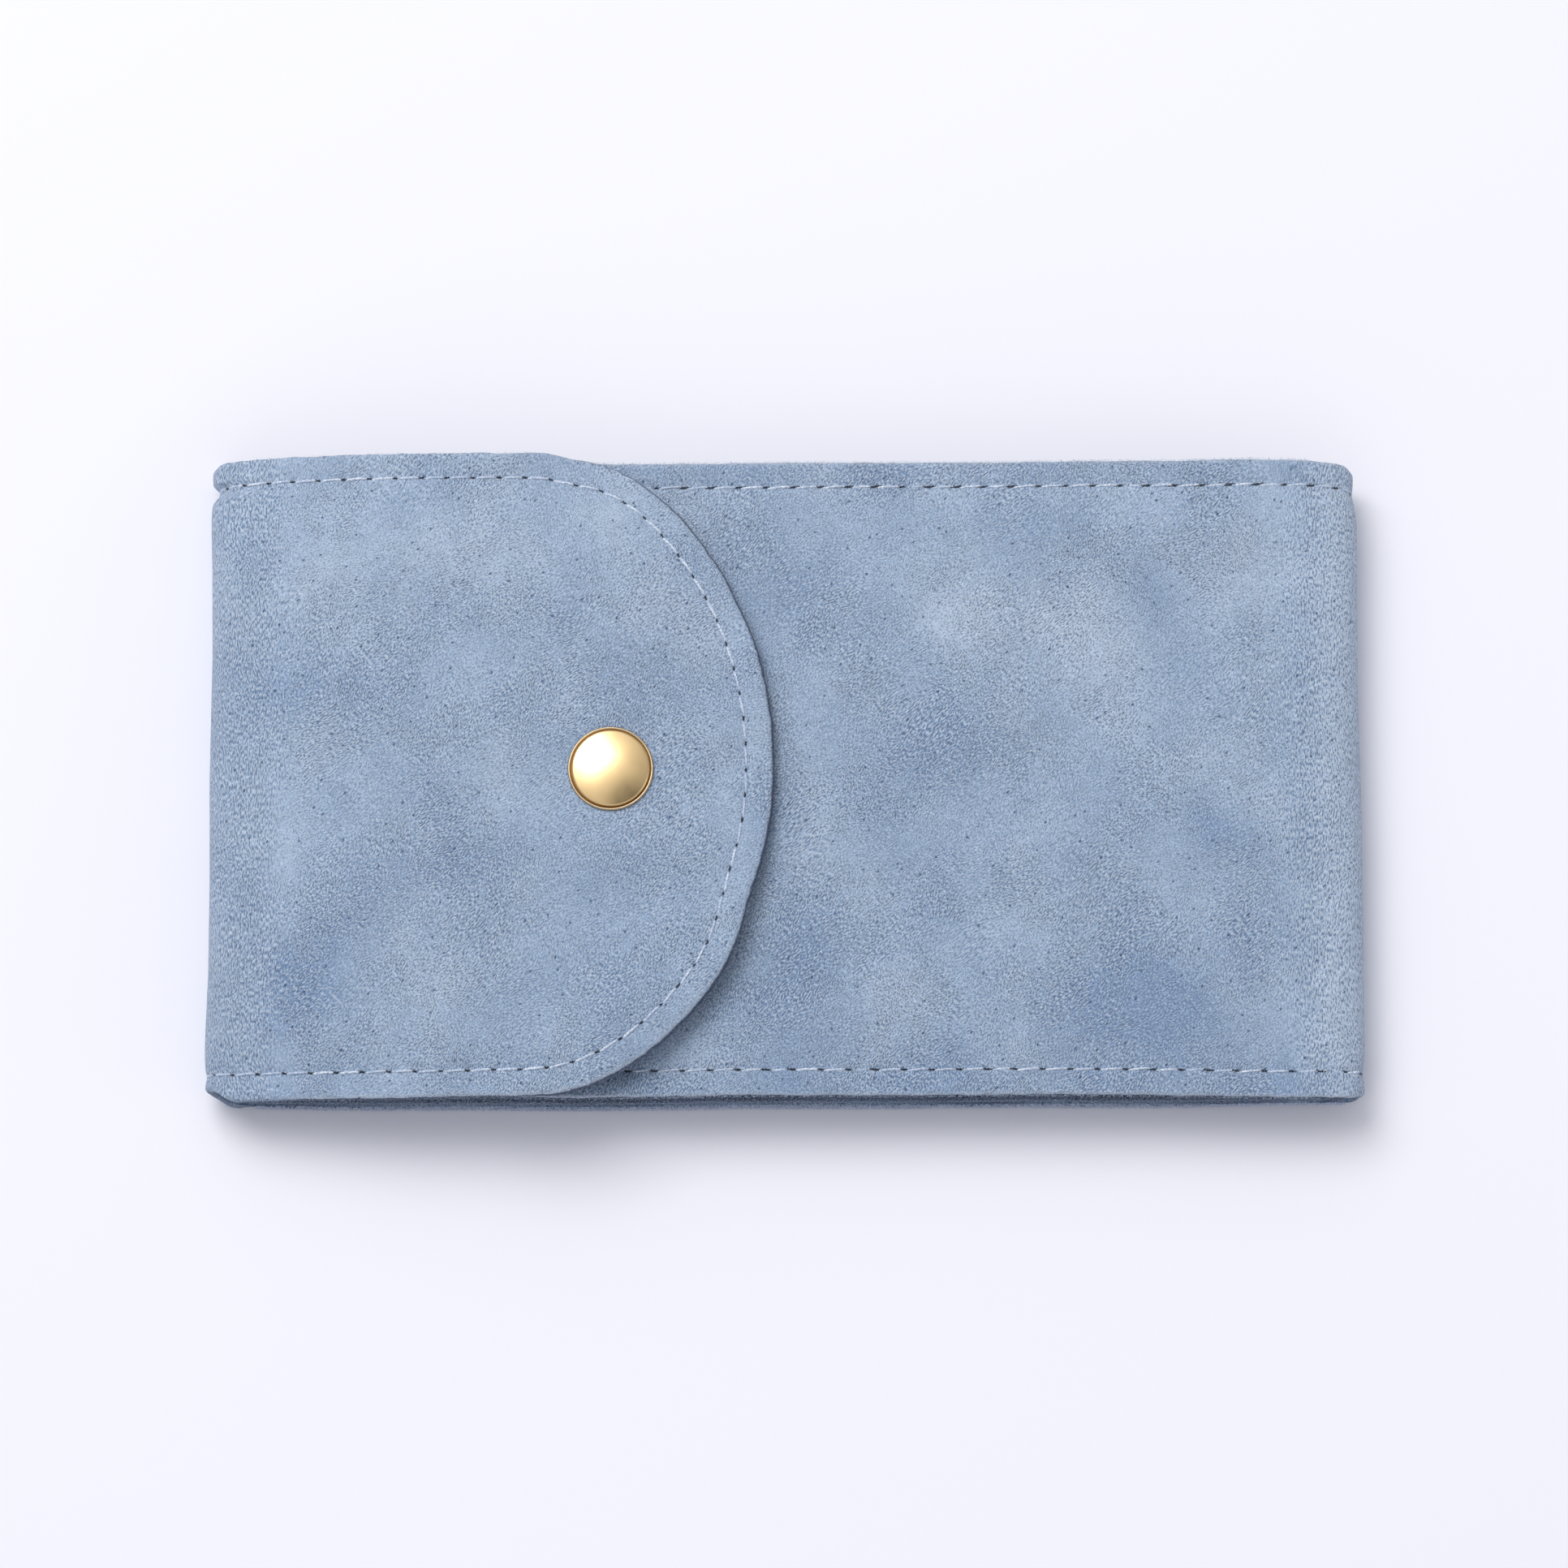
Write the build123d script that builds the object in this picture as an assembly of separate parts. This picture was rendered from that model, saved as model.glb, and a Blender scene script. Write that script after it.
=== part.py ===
from build123d import *
import math
import os

# Watch pouch of suede, in millimetres. It lies on its back panel: +X runs from the roll at the flap's fold
# to the end fold, +Y to the far side and +Z up. The origin is the middle of its footprint.

# Overall sizes
pouch_length = 140.0
body_width = 78.8
flap_overhang = 0.5
body_height = 9.2
corner_radius = 1.5

# Layers of the strip, from the outside in
suede_thickness = 1.0
stiffener_thickness = 0.3
lining_thickness = 0.6
stiffener_margin = 6.0

# Mouth and flap: the pouch thins from sag_x to the roll at its left end
mouth_setback = 4.4
sag_x = -40.0
flap_fall = 2.4
mouth_gap = 0.35
flap_gap = 1.3
flap_tip_x = -1.5
flap_curve_length = 29.5
flare_length = 24.0
crease_angle = 45.0

# Gussets
gusset_thickness = 1.0
gusset_flange = 5.4
gusset_setback = 0.3
gusset_mouth_rake = 0.6
gusset_clearance = 0.3
gusset_spans = 3

# Snap fastener
snap_x = -20.9
cap_diameter = 10.4
cap_height = 1.4
cap_sheet = 0.35
cap_bead_radius = 0.3
cap_bead_flats = 6
cap_fit = 0.05
post_disc = 0.25
rivet_radius = 1.3
rivet_wall = 0.35
rivet_fit = 0.05
rivet_curl_width = 0.5
rivet_curl_height = 0.12
socket_diameter = 8.4
socket_sheet = 0.3
socket_seat = 0.4
seat_fit = 0.05
spring_wire = 0.4
spring_clearance = 0.25
spring_split_angle = 30.0
stud_diameter = 7.8
stud_flange = 0.4
stud_seat = 0.2
knob_diameter = 4.0
knob_neck_depth = 0.3
snap_gap = 0.15
snap_clearance = 0.35
eyelet_diameter = 8.0
eyelet_flange = 0.35

# How far each cutting solid runs past what it cuts
overrun = 2.0

# Levels and places that follow from those sizes
flap_width = body_width + 2 * flap_overhang
edge_wall = suede_thickness + lining_thickness
wall = edge_wall + stiffener_thickness
stiffener_depth = suede_thickness + stiffener_thickness
flap_underside = body_height + flap_gap
flap_top = flap_underside + wall
roll_radius = (flap_top - flap_fall) / 2
end_radius = body_height / 2
roll_x = roll_radius - pouch_length / 2
end_x = pouch_length / 2 - end_radius
mouth_x = mouth_setback - pouch_length / 2
flap_curve_x = flap_tip_x - flap_curve_length

# The flap sags along an arc that meets its level part and the roll smoothly
flap_sag_radius = (sag_x - roll_x) ** 2 / (2 * flap_fall) + flap_top / 2
flap_sag_z = flap_top - flap_sag_radius
roll_end_angle = math.degrees(math.atan2(roll_radius - flap_sag_z, roll_x - sag_x))

# The front panel sags along an arc of its own, and its mouth edge stays just under the flap
sag_length = sag_x - mouth_x
flap_level_at_mouth = flap_sag_z + math.sqrt((flap_sag_radius - edge_wall) ** 2 - sag_length**2)
mouth_fall = body_height - (flap_level_at_mouth - mouth_gap)
body_sag_radius = (sag_length**2 + mouth_fall**2) / (2 * mouth_fall)
body_sag_z = body_height - body_sag_radius
mouth_angle = 90 + math.degrees(math.asin(sag_length / body_sag_radius))

trough_radius = end_radius - edge_wall
trough_y = body_width / 2 - gusset_flange
stiffener_half_width = trough_y - trough_radius - lining_thickness

cap_radius = cap_diameter / 2
rivet_hole = rivet_radius + rivet_fit
rivet_bore = rivet_radius - rivet_wall
rivet_curl = rivet_radius + rivet_curl_width
socket_radius = socket_diameter / 2
socket_back = flap_underside + socket_seat
socket_ceiling = socket_back - socket_sheet
knob_radius = knob_diameter / 2
stud_top = body_height + stud_flange - stud_seat
socket_bottom = stud_top + snap_gap
knob_top = socket_ceiling - 2 * rivet_curl_height - snap_gap
throat_radius = knob_radius + snap_clearance

print("flap top", flap_top, "roll radius", roll_radius, "knob height", knob_top - stud_top)


def side_face(edges):
    """A closed outline drawn along the pouch and upwards, as a face standing in its middle plane."""
    return Plane.XZ * make_face(edges)


def across(face, width):
    """The face drawn out to both sides, to the given width in all."""
    return extrude(face, amount=width / 2, both=True)


def between(edges, low, high):
    """A plan outline drawn up from one level to another."""
    return extrude(Pos(0, 0, low) * make_face(edges), amount=high - low)


def disc(radius, low, high):
    """A round cutter or seat on the snap's axis."""
    return Pos(snap_x, 0, (low + high) / 2) * Cylinder(radius, high - low)


def turned(edges, angle=360.0):
    """A half outline turned about the snap's axis."""
    return Pos(snap_x, 0, 0) * revolve(side_face(edges), Axis.Z, angle)


def closed(points):
    """The straight sides of an outline through the given points."""
    return [Line(a, b) for a, b in zip(points, points[1:] + points[:1])]


def roll_arc(depth, start, finish):
    """Part of the left roll, that far under its outer surface, between two angles."""
    return CenterArc((roll_x, roll_radius), roll_radius - depth, start, finish - start)


def front_path(depth):
    """The front panel, from its mouth edge over the sag to the end fold."""
    sag = CenterArc((sag_x, body_sag_z), body_sag_radius - depth, mouth_angle, 90 - mouth_angle)
    return [sag, Line((sag_x, body_height - depth), (end_x, body_height - depth))]


def back_path(depth):
    """The back panel, from the end fold to the roll."""
    return [Line((end_x, depth), (roll_x, depth))]


def body_path(depth):
    """The strip from the mouth, over the front, round the end fold and along the back to the lower crease."""
    end = CenterArc((end_x, end_radius), end_radius - depth, 90, -180)
    return front_path(depth) + [end] + back_path(depth) + [roll_arc(depth, 270, 180 + crease_angle)]


def fold_path(depth):
    """The middle of the roll, between the two creases."""
    return [roll_arc(depth, 180 + crease_angle, 180 - crease_angle)]


def flap_top_path(depth):
    """The flap from the end of the roll up the sag, and level past its tip."""
    sag = CenterArc((sag_x, flap_sag_z), flap_sag_radius - depth, roll_end_angle, 90 - roll_end_angle)
    return [sag, Line((sag_x, flap_top - depth), (flap_tip_x + overrun, flap_top - depth))]


def flap_path(depth):
    """The strip from the upper crease to past the flap's tip."""
    return [roll_arc(depth, 180 - crease_angle, roll_end_angle)] + flap_top_path(depth)


def layer(path, outer_depth, inner_depth):
    """One layer of the strip, between two depths under its outer surface, at full width."""
    outer = path(outer_depth)
    inner = path(inner_depth)
    ends = [Line(outer[0] @ 0, inner[0] @ 0), Line(outer[-1] @ 1, inner[-1] @ 1)]
    return across(side_face(outer + inner + ends), flap_width + 2 * overrun)


def rounded_left(sketch):
    """The sketch with the two corners at the roll rounded."""
    return fillet(sketch.vertices().sort_by(Axis.X)[:2], corner_radius)


def body_outline():
    """Seen from above: narrower along the body, and flared to the flap's width where the roll starts."""
    wide = flap_width / 2
    narrow = body_width / 2
    flared = [(-pouch_length / 2, wide), (roll_x, wide), (roll_x + flare_length, narrow)]
    far = flared + [(pouch_length / 2, narrow)]
    near = [(x, -y) for x, y in reversed(far)]
    sketch = rounded_left(make_face(closed(far + near)))
    sketch = fillet(sketch.vertices().sort_by(Axis.X)[-2:], corner_radius)
    return extrude(Pos(0, 0, -overrun) * sketch, amount=flap_top + 2 * overrun)


def flap_outline():
    """Seen from above: straight sides from the roll, and a half ellipse for the flap's end."""
    half = flap_width / 2
    far_left = (-pouch_length / 2, half)
    near_left = (-pouch_length / 2, -half)
    far = Line(far_left, (flap_curve_x, half))
    near = Line((flap_curve_x, -half), near_left)
    tip = EllipticalCenterArc((flap_curve_x, 0), flap_curve_length, half, -90, arc_size=180)
    sketch = rounded_left(make_face([far, tip, near, Line(near_left, far_left)]))
    return extrude(Pos(0, 0, -overrun) * sketch, amount=flap_top + 2 * overrun)


def panel_insert(path, grow, outer_depth, inner_depth):
    """A panel's layer where its stiffener lies, grown outwards by the given amount."""
    left = mouth_x + stiffener_margin - grow
    right = end_x - stiffener_margin + grow
    half = stiffener_half_width + grow
    outline = closed([(left, -half), (right, -half), (right, half), (left, half)])
    return layer(path, outer_depth, inner_depth) & between(outline, -overrun, flap_top)


def flap_insert(grow, outer_depth, inner_depth):
    """The flap's layer where its stiffener lies, which follows the flap's rounded end."""
    left = roll_x + stiffener_margin - grow
    half = flap_width / 2 - stiffener_margin + grow
    reach = flap_curve_length - stiffener_margin + grow
    far = Line((left, half), (flap_curve_x, half))
    near = Line((flap_curve_x, -half), (left, -half))
    tip = EllipticalCenterArc((flap_curve_x, 0), reach, half, -90, arc_size=180)
    outline = [far, tip, near, Line((left, -half), (left, half))]
    return layer(flap_top_path, outer_depth, inner_depth) & between(outline, 0, flap_top + overrun)


def front_stiffener():
    """Thin non-woven sheet between the front panel's suede and lining, with a hole for the eyelet."""
    sheet = panel_insert(front_path, 0, suede_thickness, stiffener_depth)
    return sheet - disc(rivet_hole, end_radius, flap_underside)


def back_stiffener():
    """The same sheet in the back panel."""
    return panel_insert(back_path, 0, suede_thickness, stiffener_depth)


def flap_stiffener():
    """The sheet inside the flap, with a hole for the cap's post."""
    return flap_insert(0, suede_thickness, stiffener_depth) - disc(rivet_hole, flap_underside, flap_top)


def outer_shell():
    """Suede of the front, the end fold, the back and the lower part of the roll, in one piece."""
    shell = layer(body_path, 0, suede_thickness) & body_outline()
    shell -= disc(rivet_hole, end_radius, flap_underside)
    return shell - disc(stud_diameter / 2 + seat_fit, body_height - stud_seat, flap_underside)


def shell_lining():
    """Lining inside the outer shell. It steps in over the two stiffeners."""
    strip = layer(body_path, suede_thickness, edge_wall) & body_outline()
    for path in (front_path, back_path):
        strip += panel_insert(path, lining_thickness, edge_wall, wall)
        strip -= panel_insert(path, 0, suede_thickness, stiffener_depth)
    return strip - disc(rivet_hole, end_radius, flap_underside)


def fold_outer():
    """Suede of the roll between the two creases."""
    return layer(fold_path, 0, suede_thickness) & flap_outline()


def fold_lining():
    """Lining of the roll between the two creases."""
    return layer(fold_path, suede_thickness, edge_wall) & flap_outline()


def flap_outer():
    """Suede of the flap, with the upper part of the roll."""
    return (layer(flap_path, 0, suede_thickness) & flap_outline()) - disc(rivet_hole, flap_underside, flap_top)


def flap_lining():
    """Lining of the flap. It steps down over the stiffener and is pressed in under the socket."""
    strip = layer(flap_path, suede_thickness, edge_wall) & flap_outline()
    strip += flap_insert(lining_thickness, edge_wall, wall)
    strip -= flap_insert(0, suede_thickness, stiffener_depth)
    strip -= disc(rivet_hole, body_height, flap_top)
    return strip - disc(socket_radius + seat_fit, body_height, socket_back)


def trough_section(x, shrink, outer_y):
    """A gusset's outline across the pouch: flat outwards, and half round inwards between the two panels."""
    panel_level = body_sag_z + math.sqrt((body_sag_radius - edge_wall) ** 2 - min(x - sag_x, 0) ** 2)
    middle = (panel_level + edge_wall) / 2
    radius = panel_level - middle - shrink
    low = CenterArc((trough_y, middle), radius, 270, -90)
    high = CenterArc((trough_y, middle), radius, 180, -90)
    corners = [high @ 1, (outer_y, middle + radius), (outer_y, middle - radius), low @ 0]
    straight = [Line(a, b) for a, b in zip(corners, corners[1:])]
    return Plane.YZ.offset(x) * make_face([low, high] + straight)


def trough(shrink, outer_y, left):
    """A gusset's solid form: it thins with the sag, and its other end is rounded to follow the end fold."""
    radius = trough_radius - shrink
    depth = outer_y - trough_y
    places = [left + (sag_x - left) * i / gusset_spans for i in range(gusset_spans + 1)]
    thin = loft([trough_section(x, shrink, outer_y) for x in places], ruled=True)
    level = extrude(trough_section(sag_x, shrink, outer_y), amount=end_x - sag_x)
    round_end = Pos(end_x, trough_y + depth / 2, end_radius) * Rot(90, 0, 0) * Cylinder(radius, depth)
    return thin + level + round_end + Pos(end_x, trough_y, end_radius) * Sphere(radius)


def far_gusset():
    """Suede gusset: two edges turned out under the panels, and a hollow side folded in between them."""
    edge_y = body_width / 2 - gusset_setback
    form = trough(0, edge_y, mouth_x)
    form -= trough(gusset_thickness, edge_y + overrun, mouth_x - overrun)
    foot_x = roll_x + gusset_clearance
    top_x = foot_x - gusset_mouth_rake
    rake = [(foot_x, edge_wall), (top_x, body_height - edge_wall), (top_x, body_height)]
    rake += [(mouth_x - overrun, body_height), (mouth_x - overrun, 0), (foot_x, 0)]
    return form - across(side_face(closed(rake)), body_width + 2 * overrun)


def near_gusset():
    """The same gusset on the near side."""
    return mirror(far_gusset(), Plane.XZ)


def dome_level(apex, radius, r):
    """Height of a dome, with its top on the axis, at a distance from the axis."""
    return apex - radius + math.sqrt(radius**2 - r**2)


def dome_arc(apex, radius, r):
    """The dome's line from the axis out to a distance from it."""
    middle = (r / 2, dome_level(apex, radius, r / 2))
    return ThreePointArc((0, apex), middle, (r, dome_level(apex, radius, r)))


def snap_cap():
    """Thin domed cap with its edge rolled under into a bead, drawn with flats."""
    bead_r = cap_radius - cap_bead_radius
    bead_z = flap_top + cap_bead_radius
    rise = cap_height - 2 * cap_bead_radius
    dome = (bead_r**2 + rise**2) / (2 * rise)
    inner_r = bead_r - cap_bead_radius
    apex = flap_top + cap_height
    outside = dome_arc(apex, dome, bead_r)
    turns = [math.pi * (1 / 2 - i / cap_bead_flats) for i in range(cap_bead_flats + 1)]
    bead = [(bead_r + cap_bead_radius * math.cos(a), bead_z + cap_bead_radius * math.sin(a)) for a in turns]
    inside = [(r, dome_level(apex, dome, r) - cap_sheet) for r in (inner_r, 0)]
    path = bead + [(inner_r, flap_top)] + inside + [(0, apex)]
    return turned([outside] + [Line(a, b) for a, b in zip(path, path[1:])])


def cap_post():
    """Disc inside the cap, with a hollow rivet through the flap, rolled out under the socket's back."""
    disc_r = cap_radius - 2 * cap_bead_radius - cap_fit
    high = flap_top + post_disc
    low = socket_ceiling - rivet_curl_height
    outline = [(rivet_bore, high), (disc_r, high), (disc_r, flap_top), (rivet_radius, flap_top)]
    outline += [(rivet_radius, socket_ceiling), (rivet_curl, socket_ceiling), (rivet_curl, low), (rivet_bore, low)]
    return turned(closed(outline))


def snap_socket():
    """Stamped cup with a closed back, a bevelled edge and a round throat for the stud."""
    inside_r = socket_radius - socket_sheet
    floor = socket_bottom + socket_sheet
    path = [(inside_r, socket_bottom), (throat_radius, socket_bottom), (throat_radius, floor), (inside_r, floor)]
    path += [(inside_r, socket_ceiling), (rivet_hole, socket_ceiling), (rivet_hole, socket_back)]
    path += [(socket_radius, socket_back), (socket_radius, floor)]
    return turned(closed(path))


def socket_spring():
    """Split ring of wire, drawn with six flats, that lies in the socket around its throat."""
    wire = spring_wire / 2
    ring_r = knob_radius + spring_clearance + wire
    section = Pos(ring_r, socket_bottom + socket_sheet + wire) * RegularPolygon(wire, 6)
    return Pos(snap_x, 0, 0) * revolve(Plane.XZ * section, Axis.Z, 360.0 - spring_split_angle)


def snap_stud():
    """Pressed stud: a flange sunk into the suede, and a knob with a drawn-in neck and a rounded head."""
    base = stud_top - stud_flange
    flange_r = stud_diameter / 2
    neck_r = knob_radius - knob_neck_depth
    middle = (stud_top + knob_top) / 2
    swell = (middle + knob_top) / 2
    crown = knob_radius - knob_neck_depth / 2
    flange = [(rivet_hole, base), (flange_r, base), (flange_r, base + stud_seat), (flange_r - stud_seat, stud_top)]
    neck = [(neck_r, stud_top), (neck_r, middle)]
    head = [(knob_radius, swell), (crown, knob_top), (rivet_hole, knob_top)]
    return turned(closed(flange + neck + head))


def stud_eyelet():
    """Flanged hollow rivet from inside the pocket, rolled out over the stud's head."""
    seat = body_height - wall
    curl_r = rivet_radius + rivet_fit + knob_neck_depth / 2
    outline = [(rivet_bore, seat - eyelet_flange), (eyelet_diameter / 2, seat - eyelet_flange)]
    outline += [(eyelet_diameter / 2, seat), (rivet_radius, seat), (rivet_radius, knob_top), (curl_r, knob_top)]
    outline += [(curl_r, knob_top + rivet_curl_height), (rivet_bore, knob_top + rivet_curl_height)]
    return turned(closed(outline))


pieces = {
    "outer_shell": outer_shell,
    "shell_lining": shell_lining,
    "front_stiffener": front_stiffener,
    "back_stiffener": back_stiffener,
    "near_gusset": near_gusset,
    "far_gusset": far_gusset,
    "snap_stud": snap_stud,
    "stud_eyelet": stud_eyelet,
    "fold_outer": fold_outer,
    "fold_lining": fold_lining,
    "flap_outer": flap_outer,
    "flap_lining": flap_lining,
    "flap_stiffener": flap_stiffener,
    "snap_cap": snap_cap,
    "cap_post": cap_post,
    "snap_socket": snap_socket,
    "socket_spring": socket_spring,
}

os.makedirs("parts", exist_ok=True)
for name, make in pieces.items():
    export_step(make(), f"parts/{name}.step")
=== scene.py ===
import math

import bpy
import numpy as np
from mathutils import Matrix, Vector


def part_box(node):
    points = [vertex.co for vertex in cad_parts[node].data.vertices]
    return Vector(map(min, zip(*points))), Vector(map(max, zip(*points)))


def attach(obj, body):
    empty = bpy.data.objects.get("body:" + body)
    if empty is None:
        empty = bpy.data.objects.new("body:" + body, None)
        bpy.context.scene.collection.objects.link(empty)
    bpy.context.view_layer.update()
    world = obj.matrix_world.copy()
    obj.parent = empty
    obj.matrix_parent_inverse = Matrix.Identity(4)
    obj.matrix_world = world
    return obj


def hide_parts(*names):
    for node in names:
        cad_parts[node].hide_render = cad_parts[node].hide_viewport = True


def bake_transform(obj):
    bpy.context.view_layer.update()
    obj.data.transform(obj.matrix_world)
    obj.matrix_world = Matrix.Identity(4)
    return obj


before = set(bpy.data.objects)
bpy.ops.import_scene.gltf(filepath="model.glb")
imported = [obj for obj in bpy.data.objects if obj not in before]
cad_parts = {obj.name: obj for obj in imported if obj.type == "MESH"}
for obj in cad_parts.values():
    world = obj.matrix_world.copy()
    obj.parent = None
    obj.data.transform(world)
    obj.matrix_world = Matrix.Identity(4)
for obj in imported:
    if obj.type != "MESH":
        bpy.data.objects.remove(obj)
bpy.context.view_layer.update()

# The pouch's looks, drawn in millimetres in the frame's axes and written to the meshes in metres
MM = 0.001


def node_box(node):
    """A node's lowest and highest corner, in millimetres."""
    low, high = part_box(node)
    return np.array(low) / MM, np.array(high) / MM


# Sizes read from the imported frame
SHELL_HIGH = node_box("outer_shell")[1]
FOLD_LOW, FOLD_HIGH = node_box("fold_outer")
FLAP_TIP, FLAP_HALF, FLAP_TOP = node_box("flap_outer")[1]
GUSSET_LOW, GUSSET_HIGH = node_box("far_gusset")
CAP_LOW, CAP_HIGH = node_box("snap_cap")
HALF_LENGTH, BODY_HEIGHT = SHELL_HIGH[0], SHELL_HIGH[2]
SNAP_X = (CAP_LOW[0] + CAP_HIGH[0]) / 2
CAP_RADIUS = (CAP_HIGH[0] - CAP_LOW[0]) / 2

# Sizes of the strip, its layers and its seams
BODY_HALF = 39.4
SUEDE = 1.0
STIFFENER = 0.3
LINING = 0.6
EDGE_WALL = SUEDE + LINING
MOUTH_X = 4.4 - HALF_LENGTH
CURVE_LENGTH = 29.5
CURVE_X = FLAP_TIP - CURVE_LENGTH
SEAM_INSET = 3.1
BODY_PITCH = 3.33
FLAP_PITCH = 3.2
END_R = BODY_HEIGHT / 2
ROLL_R = (FOLD_HIGH[2] - FOLD_LOW[2]) / math.sqrt(2)
END_X = HALF_LENGTH - END_R
ROLL_X = ROLL_R - HALF_LENGTH
ROLL_QUARTER = ROLL_R * math.pi / 2
CUT_ROUND = 0.22
TABLE_GAP = 0.01

# The flap and the front panel sag along arcs towards the roll, from here on
SAG_X = -40.0
FLAP_SAG_R = (SAG_X - ROLL_X) ** 2 / (2 * (FLAP_TOP - 2 * ROLL_R)) + FLAP_TOP / 2
FLAP_SAG_Z = FLAP_TOP - FLAP_SAG_R
ROLL_END = math.atan2(ROLL_R - FLAP_SAG_Z, ROLL_X - SAG_X)
ROLL_END_X = ROLL_X + ROLL_R * math.cos(ROLL_END)
ROLL_START = ROLL_END_X - ROLL_R * (math.pi - ROLL_END)
MOUTH_GAP = 0.35
MOUTH_Z = FLAP_SAG_Z + math.sqrt((FLAP_SAG_R - EDGE_WALL) ** 2 - (SAG_X - MOUTH_X) ** 2) - MOUTH_GAP
BODY_SAG_R = ((SAG_X - MOUTH_X) ** 2 + (BODY_HEIGHT - MOUTH_Z) ** 2) / (2 * (BODY_HEIGHT - MOUTH_Z))
BODY_SAG_Z = BODY_HEIGHT - BODY_SAG_R

# Lengths along the body's strip: front, end fold, back and lower roll
FRONT = END_X - MOUTH_X
END_FOLD = END_R * math.pi
BACK = END_X - ROLL_X
SHELL_LENGTH = FRONT + END_FOLD + BACK + ROLL_QUARTER

# Gusset section
TROUGH_R = END_R - EDGE_WALL
TROUGH_Y = GUSSET_LOW[1] + TROUGH_R
GUSSET_EDGE = GUSSET_HIGH[1]
GUSSET = 1.0


def smooth(t):
    """Rises smoothly from 0 to 1."""
    t = np.clip(t, 0.0, 1.0)
    return t * t * (3 - 2 * t)


def bump(x, width):
    """A bell of height 1."""
    return np.exp(-((x / width) ** 2))


def alike(*values):
    """The same values as arrays of one shape."""
    return np.broadcast_arrays(*(np.asarray(v, float) for v in values))


def unit(ways):
    """The same ways, each of length 1."""
    return ways / np.linalg.norm(ways, axis=-1, keepdims=True)


def ripple(x, y, wavelength, seed, count=9):
    """Smooth seeded waves over a plane, from about -1 to 1."""
    rng = np.random.default_rng(seed)
    total = np.zeros(np.broadcast(x, y).shape)
    for _ in range(count):
        way = rng.uniform(0, 2 * math.pi)
        k = 2 * math.pi / (wavelength * rng.uniform(0.7, 1.5))
        total = total + np.sin(k * (x * math.cos(way) + y * math.sin(way)) + rng.uniform(0, 2 * math.pi))
    return total / math.sqrt(count)


def steps(*stretches):
    """Places along a line: each stretch is (from, to, largest step)."""
    places = []
    for start, end, step in stretches:
        count = max(1, math.ceil(abs(end - start) / step))
        places.append(np.linspace(start, end, count + 1)[(1 if places else 0):])
    return np.concatenate(places)


def over_table(points):
    """The same points, with none lower than the table that the pouch lies on."""
    points[..., 2] = np.maximum(points[..., 2], TABLE_GAP)
    return points


# How the soft pouch lies: one field moves all pieces, so that they stay in order above each other

# The cut edges: places along each edge, and how far it stands out there
FAR_EDGE = ((-60, -46, -36, -30, -21, -15, 0, 20, 40, 57, 64, 67),
            (0, -0.17, -0.03, 0, -0.25, -0.25, -0.08, -0.05, 0.1, 0.15, -0.15, -0.4))
NEAR_EDGE = ((-66, -60, -50, -36, -26, -15, -6, 13, 30, 40, 53),
             (0.1, 0, -0.15, -0.08, -0.2, -0.1, 0.1, 0.1, 0.25, 0.2, 0.12))
ROLL_EDGE = ((-38, -36, -32, -24, -12, 0, 16, 27, 33, 35.2, 36.1, 36.9, 37.7),
             (0, -0.1, 0, 0.3, 0.3, 0.1, 0.22, 0, -0.25, -0.28, 0.35, 0.35, -0.3))
END_CORNER, FAR_CORNER, NEAR_CORNER = 1.6, 1.4, 4.3


def settle(points):
    """The empty pouch is lower along its sewn sides, most of all towards the roll, and its end fold is wider
    at the front panel than at the back."""
    side_sink, far_sink, near_sink, edge_sink, end_rise = 0.12, 0.09, 0.02, 0.3, 1.1
    x, y, z = points[..., 0], points[..., 1], points[..., 2]
    left = np.clip((SAG_X - x) / 25.0, 0, 1.2) ** 2
    right = smooth((x - 40.0) / 24.0)
    side = smooth((np.abs(y) - 22.0) / 17.0)
    edge = smooth((np.abs(y) - 30.0) / 9.0)
    share = z / BODY_HEIGHT
    top, low = np.clip(share, 0, 1.2), np.clip(1 - share, 0, 1)
    z = z * (1 - side_sink * left * side - np.where(y > 0, far_sink, near_sink) * left * edge)
    z = z - edge_sink * edge * top + 0.12 * share * ripple(x, y, 38.0, 5)
    z = z + (end_rise * right**2 * side + 0.15 * edge) * low
    y = y + np.sign(y) * edge * (0.3 * right * (top - low) + 0.1)
    out = np.where(y > 0, np.interp(x, *FAR_EDGE), np.interp(x, *NEAR_EDGE))
    bulge = 0.3 - 0.3 * smooth((y - 32.0) / 6.0) + 0.22 * bump(y, 10.0)
    x = x + bulge * smooth((x - 60.0) / 10.0) + np.interp(y, *ROLL_EDGE) * smooth((-58.0 - x) / 10.0)
    return np.stack([x, y + edge * out, z], axis=-1)


def body_half(x):
    """Half the strip's width: it widens to the flap's width in the roll."""
    return BODY_HALF + (FLAP_HALF - BODY_HALF) * smooth((ROLL_X + 0.5 - x) / 4.5)


def corner_inset(x, y):
    """How far a rounded corner takes the strip's outermost part in, by the distance from the pouch's end."""
    radius = np.where(x > 0, END_CORNER, np.where(y > 0, FAR_CORNER, NEAR_CORNER))
    t = np.clip(radius - (HALF_LENGTH - np.abs(x)), 0, radius)
    outer = np.clip((np.abs(y) - BODY_HALF + 7) / 7, 0, 1.05) ** 3
    taken = radius - np.sqrt(np.maximum(radius**2 - t**2, 0))
    return np.sign(y) * outer * np.minimum(taken, 0.36 * t)


def arc(x, z, radius, turn):
    """Places on an arc about a centre in the middle plane."""
    return np.stack([x + radius * np.cos(turn), z + radius * np.sin(turn)])


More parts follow.
